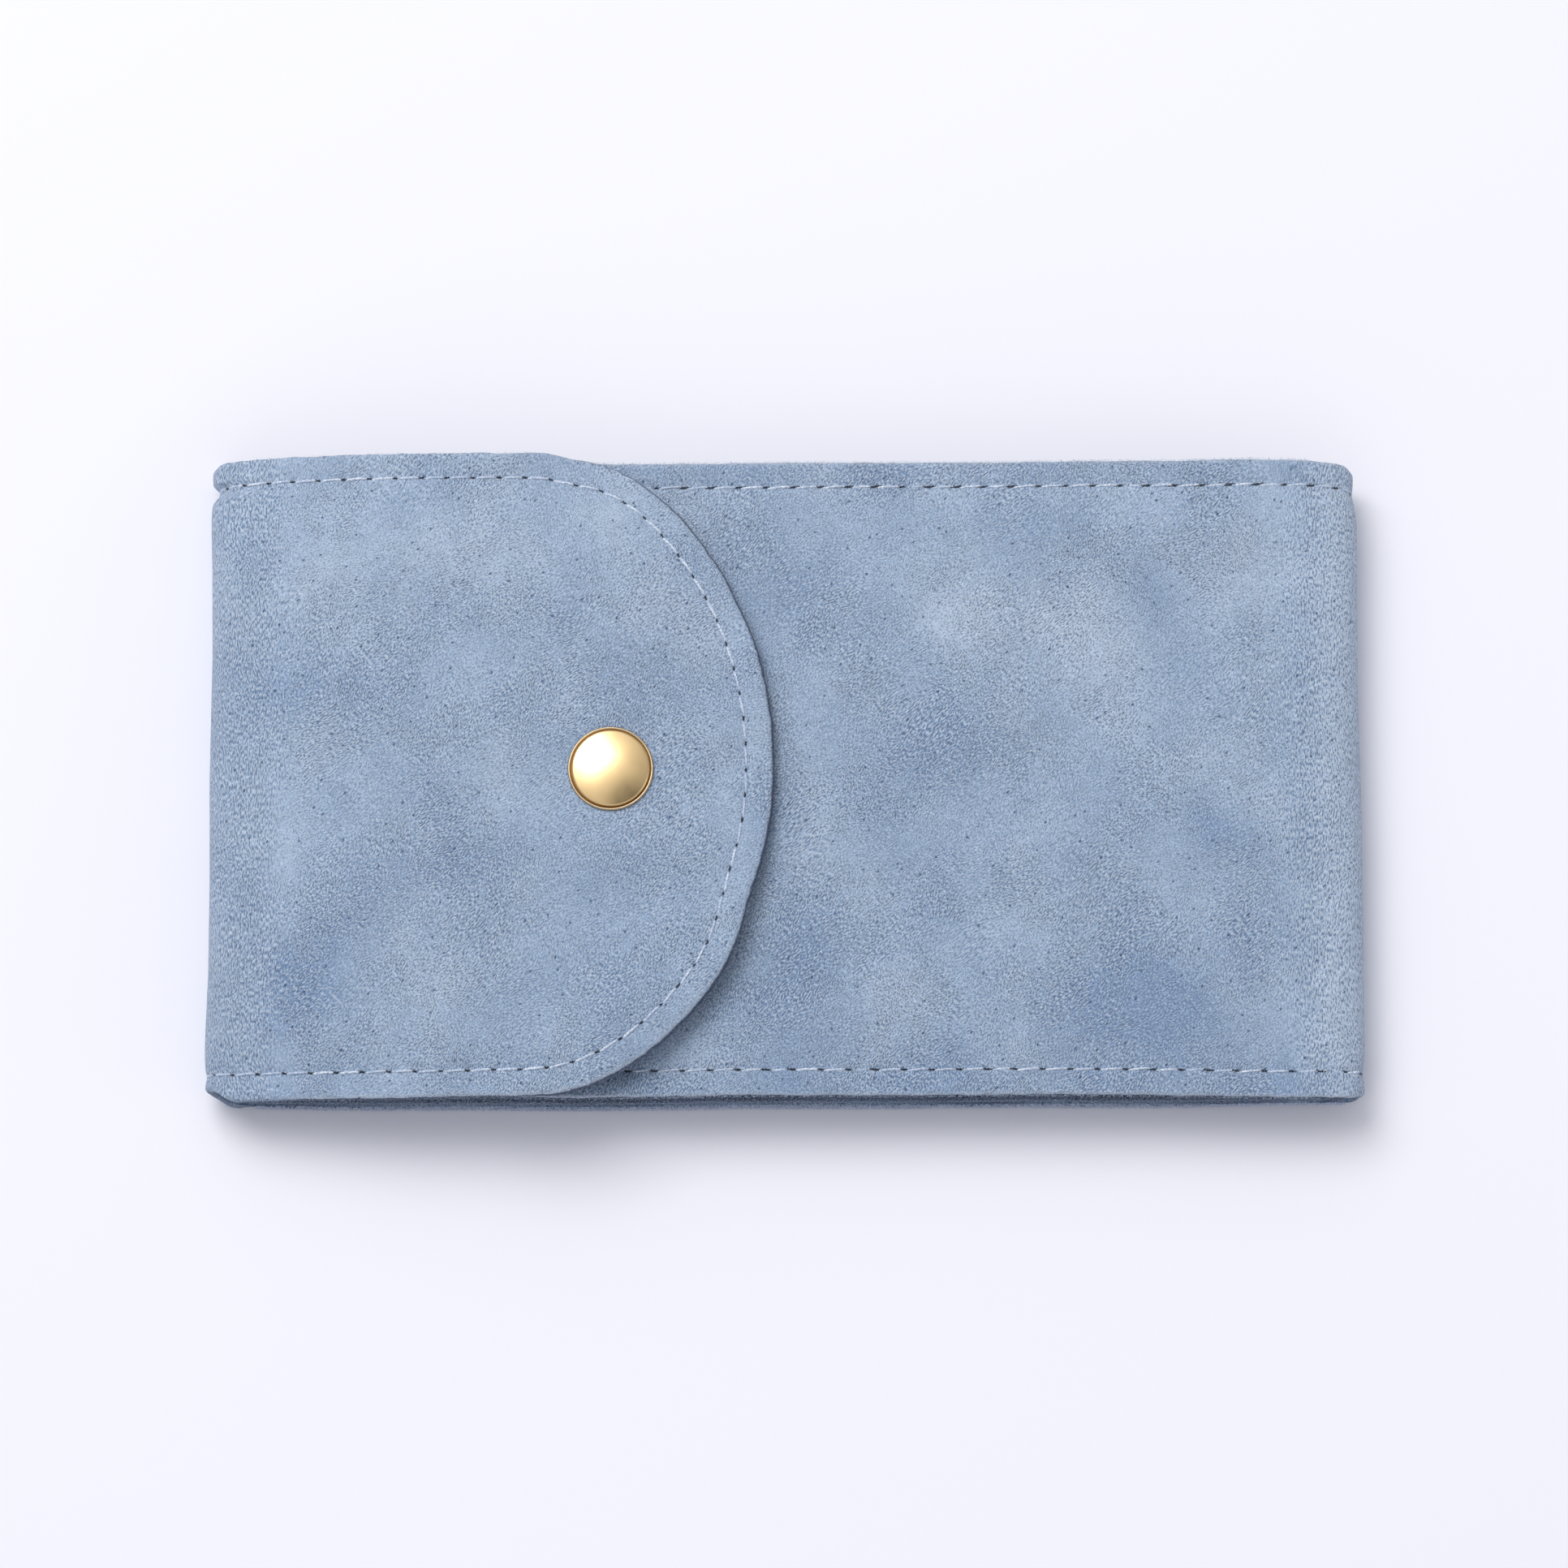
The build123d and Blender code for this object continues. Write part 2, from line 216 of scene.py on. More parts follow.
def shell_frame(s, depth):
    """Places in the middle plane along the body's strip, that far under its outer surface."""
    s, depth = alike(s, depth)
    sag = np.arcsin(np.clip((SAG_X - MOUTH_X - s) / BODY_SAG_R, 0, 1))
    sagging = arc(SAG_X, BODY_SAG_Z, BODY_SAG_R - depth, math.pi / 2 + sag)
    front = np.where(sag > 0, sagging, np.stack([MOUTH_X + s, BODY_HEIGHT - depth]))
    past_front = s - FRONT
    past_end = past_front - END_FOLD
    past_back = past_end - BACK
    end = arc(END_X, END_R, END_R - depth, math.pi / 2 - past_front / END_R)
    back = np.stack([END_X - past_end, depth])
    roll = arc(ROLL_X, ROLL_R, ROLL_R - depth, 1.5 * math.pi - past_back / ROLL_R)
    return np.select([past_front < 0, past_end < 0, past_back < 0], [front, end, back], roll)


def flap_frame(u, depth):
    """Places in the middle plane along the flap, where u is x as if the roll lay flat."""
    u, depth = alike(u, depth)
    sag = np.arcsin(np.clip((SAG_X - u) / FLAP_SAG_R, 0, 1))
    sagging = arc(SAG_X, FLAP_SAG_Z, FLAP_SAG_R - depth, math.pi / 2 + sag)
    roll = arc(ROLL_X, ROLL_R, ROLL_R - depth, ROLL_END + (ROLL_END_X - u) / ROLL_R)
    return np.select([u >= SAG_X, u >= ROLL_END_X], [np.stack([u, FLAP_TOP - depth]), sagging], roll)


def seam_relief(along, inset, pitch, depth):
    """How far the seam draws the suede in: a soft valley, scalloped by the stitches, and a needle hole
    between two stitches. Inside the wall it fades out."""
    off = inset - SEAM_INSET
    phase = along / pitch
    place = (phase - np.round(phase)) * pitch
    scallop = 0.7 + 0.3 * np.cos(2 * math.pi * phase)
    valley = 0.2 * bump(off, 0.7) * scallop + 0.22 * bump(off, 2.4)
    hole = 0.22 * bump(place, 0.45) * bump(off, 0.25)
    lip = 0.16 * np.exp(-np.clip(inset, 0, None) / 0.45)
    fade = np.clip(1 - depth / SUEDE, 0, 1)
    return (valley + hole + lip) * fade - 0.3 * valley * (depth > EDGE_WALL - 0.01)


def seam_values(along, inset, pitch, slit, part):
    """What the material reads to draw the needle holes: stitches along the seam, distance from it and the
    half length of a slit. Only the sheet's outer side, part 0, has them near."""
    return np.stack([along / pitch, inset - SEAM_INSET + 9.0 * (part > 0), slit + 0 * inset], 1)


SHELL_STITCHES = round(SHELL_LENGTH / BODY_PITCH)
SHELL_PITCH = SHELL_LENGTH / SHELL_STITCHES


def stiffened(x, y, half):
    """1 where the stiffener lies between suede and lining, well inside the seams."""
    side = smooth((half - 7.0 - np.abs(y)) / 2.0)
    return side * smooth((x - MOUTH_X - 5.0) / 2.0) * smooth((END_X - 4.0 - x) / 2.0)


def on_shell(s, y, depth):
    """Places on or under the body's strip."""
    s, y, depth = alike(s, y, depth)
    x, z = shell_frame(s, depth)
    base_x = shell_frame(s, 0 * s)[0]
    half = body_half(base_x)
    inset = half - np.abs(y) * half / BODY_HALF
    extra = STIFFENER * stiffened(base_x, y, BODY_HALF) * (depth > EDGE_WALL - 0.01)
    swell = 0.1 * ripple(s, y, 30.0, 3) * (depth < SUEDE) * smooth((SHELL_LENGTH - s) / 6)
    x, z = shell_frame(s, depth + extra + seam_relief(s, inset, SHELL_PITCH, depth) + swell)
    y = y * half / BODY_HALF
    return settle(np.stack([x, y - corner_inset(base_x, y), z], axis=-1))


# The flap's rounded end is a fan of lines from one centre, each about as long as the half ellipse is there

# The cut: turn from the flap's middle, width of the stretch and how much fuller it is
FAN_BUMPS = ((1.15, 0.24, 0.013), (0.26, 0.3, 0.006), (-0.38, 0.15, -0.013), (-0.66, 0.16, 0.009),
             (1.4, 0.08, -0.008))


def ellipse(turn):
    """Length of a line of the fan to the half ellipse."""
    return np.hypot(CURVE_LENGTH * np.cos(turn), FLAP_HALF * np.sin(turn))


def fan_length(turn):
    """Length of a line of the fan to the flap's edge."""
    return ellipse(turn) * (1 + sum(fuller * bump(turn - at, width) for at, width, fuller in FAN_BUMPS))


def fan_point(turn, inset):
    """Flat place on a line of the fan, that far inside the edge."""
    reach = (fan_length(turn) - inset) / ellipse(turn)
    return CURVE_X + reach * CURVE_LENGTH * np.cos(turn), reach * FLAP_HALF * np.sin(turn)


FAN_TURNS = np.linspace(-math.pi / 2, math.pi / 2, 721)
FAN_STEPS = np.hypot(*(np.diff(v) for v in fan_point(FAN_TURNS, SEAM_INSET)))
FAN_SEAM = np.concatenate([[0], np.cumsum(FAN_STEPS)])
STRAIGHT = CURVE_X - ROLL_START
FLAP_SEAM = 2 * STRAIGHT + FAN_SEAM[-1]
FLAP_STITCHES = round(FLAP_SEAM / FLAP_PITCH)
FLAP_SEAM_PITCH = FLAP_SEAM / FLAP_STITCHES


def flap_along(u, turn, fan):
    """Length along the flap's seam, from the roll's near side round the tip to its far side."""
    straight = np.where(turn < 0, u - ROLL_START, FLAP_SEAM - (u - ROLL_START))
    return np.where(fan, STRAIGHT + np.interp(turn, FAN_TURNS, FAN_SEAM), straight)


def flap_seam_place(along):
    """Flat place (u, y) on the flap's seam."""
    turn = np.interp(along - STRAIGHT, FAN_SEAM, FAN_TURNS)
    fan_u, fan_y = fan_point(turn, SEAM_INSET)
    near = along < STRAIGHT
    far = along > FLAP_SEAM - STRAIGHT
    u = np.select([near, far], [ROLL_START + along, ROLL_START + FLAP_SEAM - along], fan_u)
    side = FLAP_HALF - SEAM_INSET
    return u, np.select([near, far], [-side, side], fan_y)


# The flap's edge droops at its sides and tip, waves a little and is lifted at its near right
SIDE_DROOP, TIP_DROOP, EDGE_WAVE, NEAR_LIFT = 0.5, 0.6, 0.12, 1.5


def on_flap(u, y, depth, along, inset):
    """Places on or under the flap."""
    u, y, depth = alike(u, y, depth)
    base_x = flap_frame(u, 0 * u)[0]
    inner = smooth((inset - 6.5) / 2.0) * smooth((u - ROLL_X - 5.0) / 2.0)
    extra = STIFFENER * inner * (depth > EDGE_WALL - 0.01)
    dent = 0.16 * bump(np.hypot(u - SNAP_X, y) - CAP_RADIUS * 0.9, 1.6) * (depth < SUEDE)
    swell = 0.1 * ripple(u, y, 26.0, 12) * (depth < SUEDE) * smooth(inset / 8) * smooth((u - ROLL_START) / 6)
    x, z = flap_frame(u, depth + extra + seam_relief(along, inset, FLAP_SEAM_PITCH, depth) + dent + swell)
    side = smooth((np.abs(y) - 27.0) / 12.9)
    level = smooth((base_x - ROLL_X) / 12.0)
    tip = smooth((u + 40) / 24)
    z = z - SIDE_DROOP * side * level * (1 - tip) - TIP_DROOP * tip * smooth((11 - inset) / 10)
    z = z + EDGE_WAVE * level * ripple(u, y, 33.0, 21) * smooth((14 - inset) / 14)
    z = z + NEAR_LIFT * smooth((-y - 2) / 16) * smooth((u + 42) / 14) * smooth((13 - inset) / 12)
    return settle(np.stack([x, y - corner_inset(base_x, y) * (base_x < CURVE_X), z], axis=-1))


# Clouds in the nap: x, y, half length and half width in millimetres, turn in degrees and strength

FRONT_CLOUDS = [
    (1.0, 24.0, 7.0, 8.5, 0, -0.75), (20.0, 19.5, 6.0, 4.0, 0, 0.9), (31.0, 20.5, 8.0, 5.0, 0, 0.6),
    (38.0, 13.5, 6.5, 8.0, 0, 0.75), (17.0, 2.5, 9.5, 7.0, 30, -0.65), (31.0, 32.0, 8.0, 3.0, 0, -0.6),
    (45.0, 22.0, 2.5, 9.0, 10, -0.5), (57.0, 24.5, 5.5, 8.0, 0, 0.45), (53.5, -7.5, 6.0, 3.0, -25, -0.7),
    (44.0, -28.0, 9.0, 7.5, 0, -1.25), (62.5, -28.0, 5.5, 8.0, 0, 0.4), (3.5, -7.5, 3.0, 8.0, 0, 0.5),
    (2.5, -24.0, 6.0, 8.0, -20, -0.8), (15.5, -27.5, 5.5, 3.5, 0, 0.5), (25.0, -20.0, 9.0, 5.0, 20, 0.2),
    (59.0, -2.0, 6.0, 7.0, 0, 0.35),
]
FLAP_CLOUDS = [
    (-45.0, 26.5, 17.0, 5.0, 3, 0.5), (-56.0, 10.0, 12.5, 4.0, 0, -0.6), (-56.5, -0.5, 4.5, 4.5, 0, 0.4),
    (-60, -9, 4.0, 4.5, 0, 0.45), (-44.5, -12, 8.5, 3.0, 8, -0.85), (-57, -25, 5.0, 8.5, -30, -0.75),
    (-42.0, -25.5, 5.5, 6.0, 0, 0.6), (-39.0, -34.0, 8.0, 4.0, 0, 0.4), (-29.0, -28.0, 5.5, 4.5, 0, -0.45),
    (-9.5, 17.5, 2.5, 6.5, 20, 0.5), (-21.5, 31.5, 5.5, 4.0, 0, 0.5), (-6.0, -2.5, 3.0, 10.0, 0, 0.35),
    (-15.5, 11.0, 5.5, 4.5, 0, -0.45), (-10.5, -10.5, 4.0, 3.5, 0, -0.4), (-34.0, -0.5, 4.5, 4.5, 0, 0.3),
]


def clouds(x, y):
    """Lighter and darker patches of the nap, and a steady rise towards the far side, from about -1 to 1."""
    # The last term makes the suede lighter towards the far side and darker towards the near side.
    total = 0.2 * ripple(x, y, 15.0, 31) + 0.12 * ripple(x, y, 6.0, 32) + 0.19 * np.clip(y / 40, -1, 1)
    flap = np.max(x) < 0.5
    for cx, cy, long, wide, turn, strength in (FLAP_CLOUDS if flap else FRONT_CLOUDS):
        c, s = math.cos(math.radians(turn)), math.sin(math.radians(turn))
        along, across = (x - cx) * c + (y - cy) * s, (y - cy) * c - (x - cx) * s
        total = total + strength * np.exp(-((along / long) ** 2) - (across / wide) ** 2)
    return total


# Meshes: a closed sheet is an outer patch, a rounded rim and an inner patch


def write_mesh(name, points, faces, materials, attributes=None):
    """A new object from points in millimetres. Attributes are per-point values that the materials read."""
    mesh = bpy.data.meshes.new(name)
    mesh.from_pydata((np.asarray(points) * MM).tolist(), [], [tuple(int(i) for i in face) for face in faces])
    for material in materials:
        mesh.materials.append(material)
    for key, values in (attributes or {}).items():
        vector = np.ndim(values) == 2
        layer = mesh.attributes.new(key, "FLOAT_VECTOR" if vector else "FLOAT", "POINT")
        layer.data.foreach_set("vector" if vector else "value", np.asarray(values, np.float32).ravel())
    mesh.polygons.foreach_set("use_smooth", np.ones(len(mesh.polygons), bool))
    mesh.validate()
    mesh.update()
    mesh.set_sharp_from_angle(angle=math.radians(75))
    piece = bpy.data.objects.new(name, mesh)
    bpy.context.scene.collection.objects.link(piece)
    return piece


def grid_faces(index):
    """Quads of a grid of point numbers, counter-clockwise where rows run to the left of columns."""
    a, b, c, d = index[:-1, :-1], index[1:, :-1], index[1:, 1:], index[:-1, 1:]
    return np.stack([a, b, c, d], axis=-1).reshape(-1, 4).tolist()


def zip_faces(a, b):
    """Triangles between two lines of point numbers that run side by side."""
    faces, i, j = [], 0, 0
    while i < len(a) - 1 or j < len(b) - 1:
        ahead = (i + 1) / (len(a) - 1) <= (j + 1) / (len(b) - 1)
        if j == len(b) - 1 or (ahead and i < len(a) - 1):
            faces.append((a[i + 1], a[i], b[j]))
            i += 1
        else:
            faces.append((a[i], b[j], b[j + 1]))
            j += 1
    return faces


class Patch:
    """Flat points of a sheet, its faces, and its edge as lines of point numbers with their outward ways."""

    def __init__(self, data, faces, lines, ways):
        self.data, self.faces, self.lines, self.ways = data, faces, lines, ways


def strip_patch(columns, rows):
    """A rectangle: s along the columns, y along the rows. The last column is a plain cut, with no way."""
    s, y = np.meshgrid(columns, rows, indexing="ij")
    index = np.arange(s.size).reshape(s.shape)
    lines = [index[:, 0], index[-1, :], index[::-1, -1], index[0, ::-1]]
    outward = ((0.0, -1.0), (0.0, 0.0), (0.0, 1.0), (-1.0, 0.0))
    ways = [np.full((len(line), 2), way) for line, way in zip(lines, outward)]
    return Patch(np.stack([s.ravel(), y.ravel()], 1), grid_faces(index), lines, ways)


def inset_rows(length, near, count):
    """Distances from the edge: the given near ones, then even steps to the full length."""
    return np.concatenate([near, np.linspace(near[-1], length, count + 1)[1:]])


def tongue_patch(columns, turns, near, count, straight_length, turn_length):
    """Straight columns that end in a fan. Each point has its column, its turn, its inset, its line's length
    and whether it is on the fan. The middle of the last column is the fan's centre."""
    rows = inset_rows(straight_length, near, count)
    k = len(rows) - 1
    data, column_index = [], []
    for u in columns:
        line = [(u, -math.pi / 2, d, straight_length, 0) for d in rows]
        line += [(u, math.pi / 2, d, straight_length, 0) for d in rows[-2::-1]]
        column_index.append(range(len(data), len(data) + len(line)))
        data += line
    index = np.array([list(r) for r in column_index])
    fan = [index[-1, : k + 1]]
    for turn in turns[1:-1]:
        length = turn_length(turn)
        fan.append(np.append(np.arange(len(data), len(data) + k), index[-1, k]))
        data += [(columns[-1], turn, d, length, 1) for d in inset_rows(length, near, count)[:-1]]
    fan.append(index[-1, ::-1][: k + 1])
    fan = np.array(fan)
    faces = grid_faces(index) + grid_faces(fan[:, :k])
    faces += [(fan[i, k - 1], fan[i + 1, k - 1], fan[i, k]) for i in range(len(fan) - 1)]
    edge = np.concatenate([index[:, 0], fan[1:-1, 0], index[::-1, -1]])
    return Patch(np.array(data, float), faces, [edge, index[0, ::-1]], None)


def sheet_solid(name, outer, inner, place, rings, material, extras):
    """Closes an outer and an inner patch with a rim. place(data, way, reach, depth) gives the points. rings
    is a list of (reach beyond the patch's edge, depth). extras(data, part, share) gives the attributes, where
    part is 0 outside, 1 on the rim and 2 inside, and share goes from 0 to 1 over the rim."""
    edge = np.concatenate([line[:-1] for line in outer.lines])
    ways, rim_data = edge_ways(outer, edge), outer.data[edge]
    points = [place(outer.data, 0 * outer.data[:, :2], 0, rings[0][1])]
    values = [extras(outer.data, 0, 0.0)]
    faces, count, previous = list(outer.faces), len(outer.data), edge
    for number, (reach, depth) in enumerate(rings[1:-1]):
        points.append(place(rim_data, ways, reach, depth))
        values.append(extras(rim_data, 1, (number + 1) / (len(rings) - 2)))
        current = np.arange(count, count + len(edge))
        count += len(edge)
        a, b = np.append(previous, previous[0]), np.append(current, current[0])
        faces += [(b[i], b[i + 1], a[i + 1], a[i]) for i in range(len(edge))]
        previous = current
    points.append(place(inner.data, 0 * inner.data[:, :2], 0, rings[-1][1]))
    values.append(extras(inner.data, 2, 1.0))
    start = 0
    for line, inner_line in zip(outer.lines, inner.lines):
        span = [previous[(start + i) % len(edge)] for i in range(len(line))]
        start += len(line) - 1
        faces += zip_faces(span, (np.asarray(inner_line) + count).tolist())
    faces += [tuple(i + count for i in reversed(face)) for face in inner.faces]
    attributes = {key: np.concatenate([v[key] for v in values]) for key in values[0]}
    return write_mesh(name, np.concatenate(points), faces, [material], attributes)


def edge_ways(patch, edge):
    """Outward way of each point on a patch's edge. A corner takes both its lines' ways."""
    ways = np.zeros((len(patch.data), 2))
    for line, way in zip(patch.lines, patch.ways):
        fresh = np.abs(ways[line]).sum(1) < 1e-9
        ways[line] = np.where(fresh[:, None], way, np.sign(ways[line] + way) * 0.8)
    return ways[edge]


def cut_rings(depth_outer, depth_inner, reach=CUT_ROUND, slant=0.0):
    """A raw cut edge: slightly rounded at both arrises. A slanted cut sticks out more at its inner arris."""
    thick = depth_inner - depth_outer
    corner = 0.3 * reach
    places = [(0.75, corner), (1.0, 0.4 * thick), (1.0, 0.6 * thick), (0.75, thick - corner)]
    middle = [(share * reach + slant * down / thick, depth_outer + down) for share, down in places]
    return [(0, depth_outer)] + middle + [(0, depth_inner)]


# Rows of points, by their distance from the edge: close together where the seam lies, and few inside
NEAR_ROWS = np.array([CUT_ROUND, 0.5, 0.8, 1.2, 1.6, 2.0, 2.3, 2.55, 2.8, 3.0, 3.2, 3.4, 3.65, 3.9, 4.2, 4.6,
                      5.1, 5.7])
FEW_ROWS = (1.5, SEAM_INSET, 5.0)
LINING_ROWS = np.array([0.6, *FEW_ROWS])


def wobble(along, seed):
    """A raw edge is never quite straight, in millimetres."""
    return 0.035 * ripple(along, 0 * along, 6.0, seed) + 0.035 * ripple(along, 0 * along, 1.3, seed + 1)


def place_shell(data, way, reach, depth):
    """Points of the body's strip: data holds s and y."""
    grow = reach + wobble(data[:, 0] + data[:, 1], 41) * (reach > 0)
    s = data[:, 0] + way[:, 0] * grow
    return over_table(on_shell(s, data[:, 1] + way[:, 1] * grow, depth))


def edge_pale_and_shade(inset, part, share, dark):
    """A raw edge is pale along its upper arris, partly its own colour and partly painted highlight, and has
    painted shade on the face below it. The face beside it is a little pale.
    """
    if part == 0:
        return 0.35 * bump(inset - CUT_ROUND, 0.15)
    # On the rim the upper arris gets the pale value, and the face below it the dark one, which is painted
    # shade.
    return 0 * inset + (part == 1) * (1.0 if share < 0.3 else dark)


def shell_values(data, part, share):
    """What the suede's material reads on the body: flat place, cut edge and seam. The back panel's edge is
    darker, partly its own tone and partly painted shade, the border outside the seam is darker as painted
    shade, and the stretch round the end fold is lighter as painted light."""
    s, y = data[:, 0], data[:, 1]
    inset = BODY_HALF - np.abs(y)
    back = smooth((s - FRONT - END_FOLD / 2) / 3)
    left = SHELL_LENGTH - s
    # The back panel's rim is darker: partly its own tone and partly painted shade under the front lip.
    cut = edge_pale_and_shade(np.minimum(inset, s), part, share, -0.3) * (1 - 0.9 * back) - 0.45 * back * (part == 1)
    x = np.interp(s, (0, FRONT, SHELL_LENGTH), (MOUTH_X, END_X, ROLL_START))
    # Painted shade: the border between the seam and the edge, where the strip curves down, is darker.
    shaded_border = smooth((SEAM_INSET - inset) / 0.6) * smooth(left / 8)
    cloud = clouds(x, y) - 0.4 * shaded_border + 0.3 * ripple(x, y, 24.0, 34) * back * smooth(left / 12)
    # Painted light: the stretch round the end fold is lighter.
    cloud = cloud * (part == 0) + 0.9 * smooth((s - FRONT + 3) / 5) * (1 - back)
    flat = np.stack([s, y + np.sign(y) * share * SUEDE, 0 * s], 1)
    return {"flat": flat, "cut": cut, "seam": seam_values(s, inset, SHELL_PITCH, 0.6, part), "cloud": cloud}


def half_rows(near, step):
    """Rows across the body's strip, mirrored about the middle."""
    inset = inset_rows(BODY_HALF, near, math.ceil((BODY_HALF - near[-1]) / step))
    return np.concatenate([inset - BODY_HALF, (BODY_HALF - inset)[-2::-1]])


def shell_sheet(name, columns, few_columns, depths, near, step, material, reach):
    """One layer of the body's strip as a closed sheet between two depths."""
    outer = strip_patch(columns, half_rows(near, step))
    inner = strip_patch(few_columns, half_rows(np.append(near[0], FEW_ROWS), 3.0))
    return sheet_solid(name, outer, inner, place_shell, cut_rings(*depths, reach), material, shell_values)


def shell_columns(step, bend_step):
    """Places along the body's strip, closer together round the folds."""
    return steps((CUT_ROUND, FRONT, step), (FRONT, FRONT + END_FOLD, bend_step),
                 (FRONT + END_FOLD, FRONT + END_FOLD + BACK, step),
                 (FRONT + END_FOLD + BACK, SHELL_LENGTH, bend_step))


def flap_flat(data):
    """Flat place, seam length and inset of the flap's points."""
    u, turn, inset, length, fan = data.T
    fan_u, fan_y = fan_point(turn, inset)
    flat_y = np.where(fan > 0, fan_y, np.sign(turn) * (FLAP_HALF - inset))
    return np.where(fan > 0, fan_u, u), flat_y, flap_along(u, turn, fan > 0), inset


def place_flap(data, way, reach, depth):
    """Points of the flap: data holds column, turn, inset, length and fan. Its cut is slanted at the tip."""
    u, y, along, inset = flap_flat(data)
    slanting = np.clip(0.3 + 1.2 * np.cos(data[:, 1]) * data[:, 4], 0, 1)
    beyond = max(reach - CUT_ROUND, 0) * slanting
    grow = np.minimum(reach, CUT_ROUND) + beyond + wobble(along, 61) * (reach > 0)
    return on_flap(u + way[:, 0] * grow, y + way[:, 1] * grow, depth, along, inset - reach)


def flap_values(data, part, share):
    """What the suede's material reads on the flap, with painted shade on its cut face. The flat place goes on
    from the body's strip.
    """
    u, y, along, inset = flap_flat(data)
    turn, fan = data[:, 1], data[:, 4]
    # Painted shade: the flap's cut face is very dark below its arris, as in the shadow beside the flap's
    # edge.
    cut = edge_pale_and_shade(inset, part, share, -0.95)
    cut = np.where(cut > 0, cut * np.clip(-np.sin(turn), 0.2, 1), cut)
    cut = cut * (1 - 0.85 * smooth((ROLL_X + 9 - u) / 8))
    seam = seam_values(along, inset, FLAP_SEAM_PITCH, np.where(fan > 0, 0.36, 0.52), part)
    flat_u = SHELL_LENGTH + u - ROLL_START
    flat = np.stack([flat_u + share * SUEDE * np.cos(turn), y + share * SUEDE * np.sin(turn), 0 * u], 1)
    return {"flat": flat, "cut": cut, "seam": seam, "cloud": clouds(u, y) * (part == 0)}


def flap_patch(step, near, count, fan_count):
    """The flap's flat shape, with the outward ways of its edge."""
    columns = steps((ROLL_START, ROLL_END_X, step), (ROLL_END_X, CURVE_X, step))
    turns = np.linspace(-math.pi / 2, math.pi / 2, fan_count + 1)
    patch = tongue_patch(columns, turns, near, count, FLAP_HALF, fan_length)
    edge, end = patch.lines
    turn, fan = patch.data[edge, 1], patch.data[edge, 4]
    curved = unit(np.stack([np.cos(turn) / CURVE_LENGTH, np.sin(turn) / FLAP_HALF], 1))
    straight = np.stack([0 * turn, np.sign(turn)], 1)
    patch.ways = [np.where(fan[:, None] > 0, curved, straight), np.zeros((len(end), 2))]
    return patch


def flap_sheet(name, depths, near, count, step, fan_count, material, reach):
    """One layer of the flap as a closed sheet between two depths."""
    outer = flap_patch(step, near, count, fan_count)
    inner = flap_patch(0.9, np.append(near[0], FEW_ROWS), 14, 140)
    rings = cut_rings(*depths, reach, 2.0 * reach)
    return sheet_solid(name, outer, inner, place_flap, rings, material, flap_values)


# Gussets: the same tongue, turned into a trough that follows the end fold

GUSSET_MIDDLE = TROUGH_R - GUSSET / 2
GUSSET_ARC = GUSSET_MIDDLE * math.pi / 2
GUSSET_LENGTH = GUSSET_ARC + GUSSET_EDGE - TROUGH_Y


def place_gusset(side):
    """Points of a gusset: the suede faces the open hollow between the two lips."""

    def place(data, way, reach, depth):
        u, turn, inset, length, fan = data.T
        along = length - inset + reach
        fall = BODY_HEIGHT - (BODY_SAG_Z + np.sqrt(BODY_SAG_R**2 - np.clip(SAG_X - u, 0, None) ** 2))
        radius = TROUGH_R - GUSSET - fall / 2 + depth
        bend = np.clip(along / GUSSET_MIDDLE, 0, math.pi / 2)
        y = TROUGH_Y - radius * np.cos(bend) + np.maximum(along - GUSSET_ARC, 0)
        rise = radius * np.sin(bend)
        fold = 0.5 * bump(along, 1.2)
        z = END_R - fall / 2 + rise * np.sin(turn)
        rake = 0.6 * (1 - z / BODY_HEIGHT) * smooth((MOUTH_X + 9.0 - u) / 9.0)
        x = u + rise * np.cos(turn) * (fan > 0) + rake + way[:, 0] * reach
        wave = 0.12 * ripple(u, along, 9.0, 77 + side) * smooth((GUSSET_LENGTH - along) / 2)
        y = y + wave + fold * 0.4 - 0.55 * smooth(np.sin(turn)) * smooth((along - GUSSET_ARC) / 2)
        return settle(np.stack([x, side * y, z], axis=-1))

    return place


def gusset_values(data, part, share):
    """What the suede's material reads on a gusset: darker, as painted shade for the hollow between the two
    lips, and no seam near.
    """
    u, turn, inset, length, fan = data.T
    # Painted shade: the gusset's cut value and its clouds are both pushed dark, as in the hollow between the
    # lips.
    cut = np.full(len(u), -0.12)
    flat = np.stack([u + 400, np.sin(turn) * (length - inset + share * GUSSET), 0 * u], 1)
    return {"flat": flat, "cut": cut, "seam": np.full((len(u), 3), 9.0), "cloud": 0 * u - 0.5}


def gusset_patch(step, near, count):
    """The gusset's flat shape."""
    columns = steps((GUSSET_LOW[0] + CUT_ROUND, END_X, step))
    turns = np.linspace(-math.pi / 2, math.pi / 2, 37)
    patch = tongue_patch(columns, turns, near, count, GUSSET_LENGTH, lambda turn: GUSSET_LENGTH)
    edge, end = patch.lines
    patch.ways = [np.zeros((len(edge), 2)), np.tile([-1.0, 0.0], (len(end), 1))]
    return patch


def gusset_sheet(name, side, material):
    """A closed gusset. Its faces are made for the near side, so the far one's are turned over."""
    outer = gusset_patch(0.7, np.array([CUT_ROUND, 0.5, 1.0, 1.6, 2.3]), 12)
    inner = gusset_patch(2.0, np.array([CUT_ROUND, 1.5]), 9)
    rings = cut_rings(0.0, GUSSET)
    piece = sheet_solid(name, outer, inner, place_gusset(side), rings, material, gusset_values)
    if side > 0:
        piece.data.flip_normals()
    return piece


# Thread: each stitch is a short twisted tube that dives into the needle holes

THREAD_R, THREAD_SIDES, THREAD_PLIES, THREAD_TWIST = 0.155, 9, 2, 7.0
STITCH_STEPS = np.linspace(0.08, 0.92, 15)


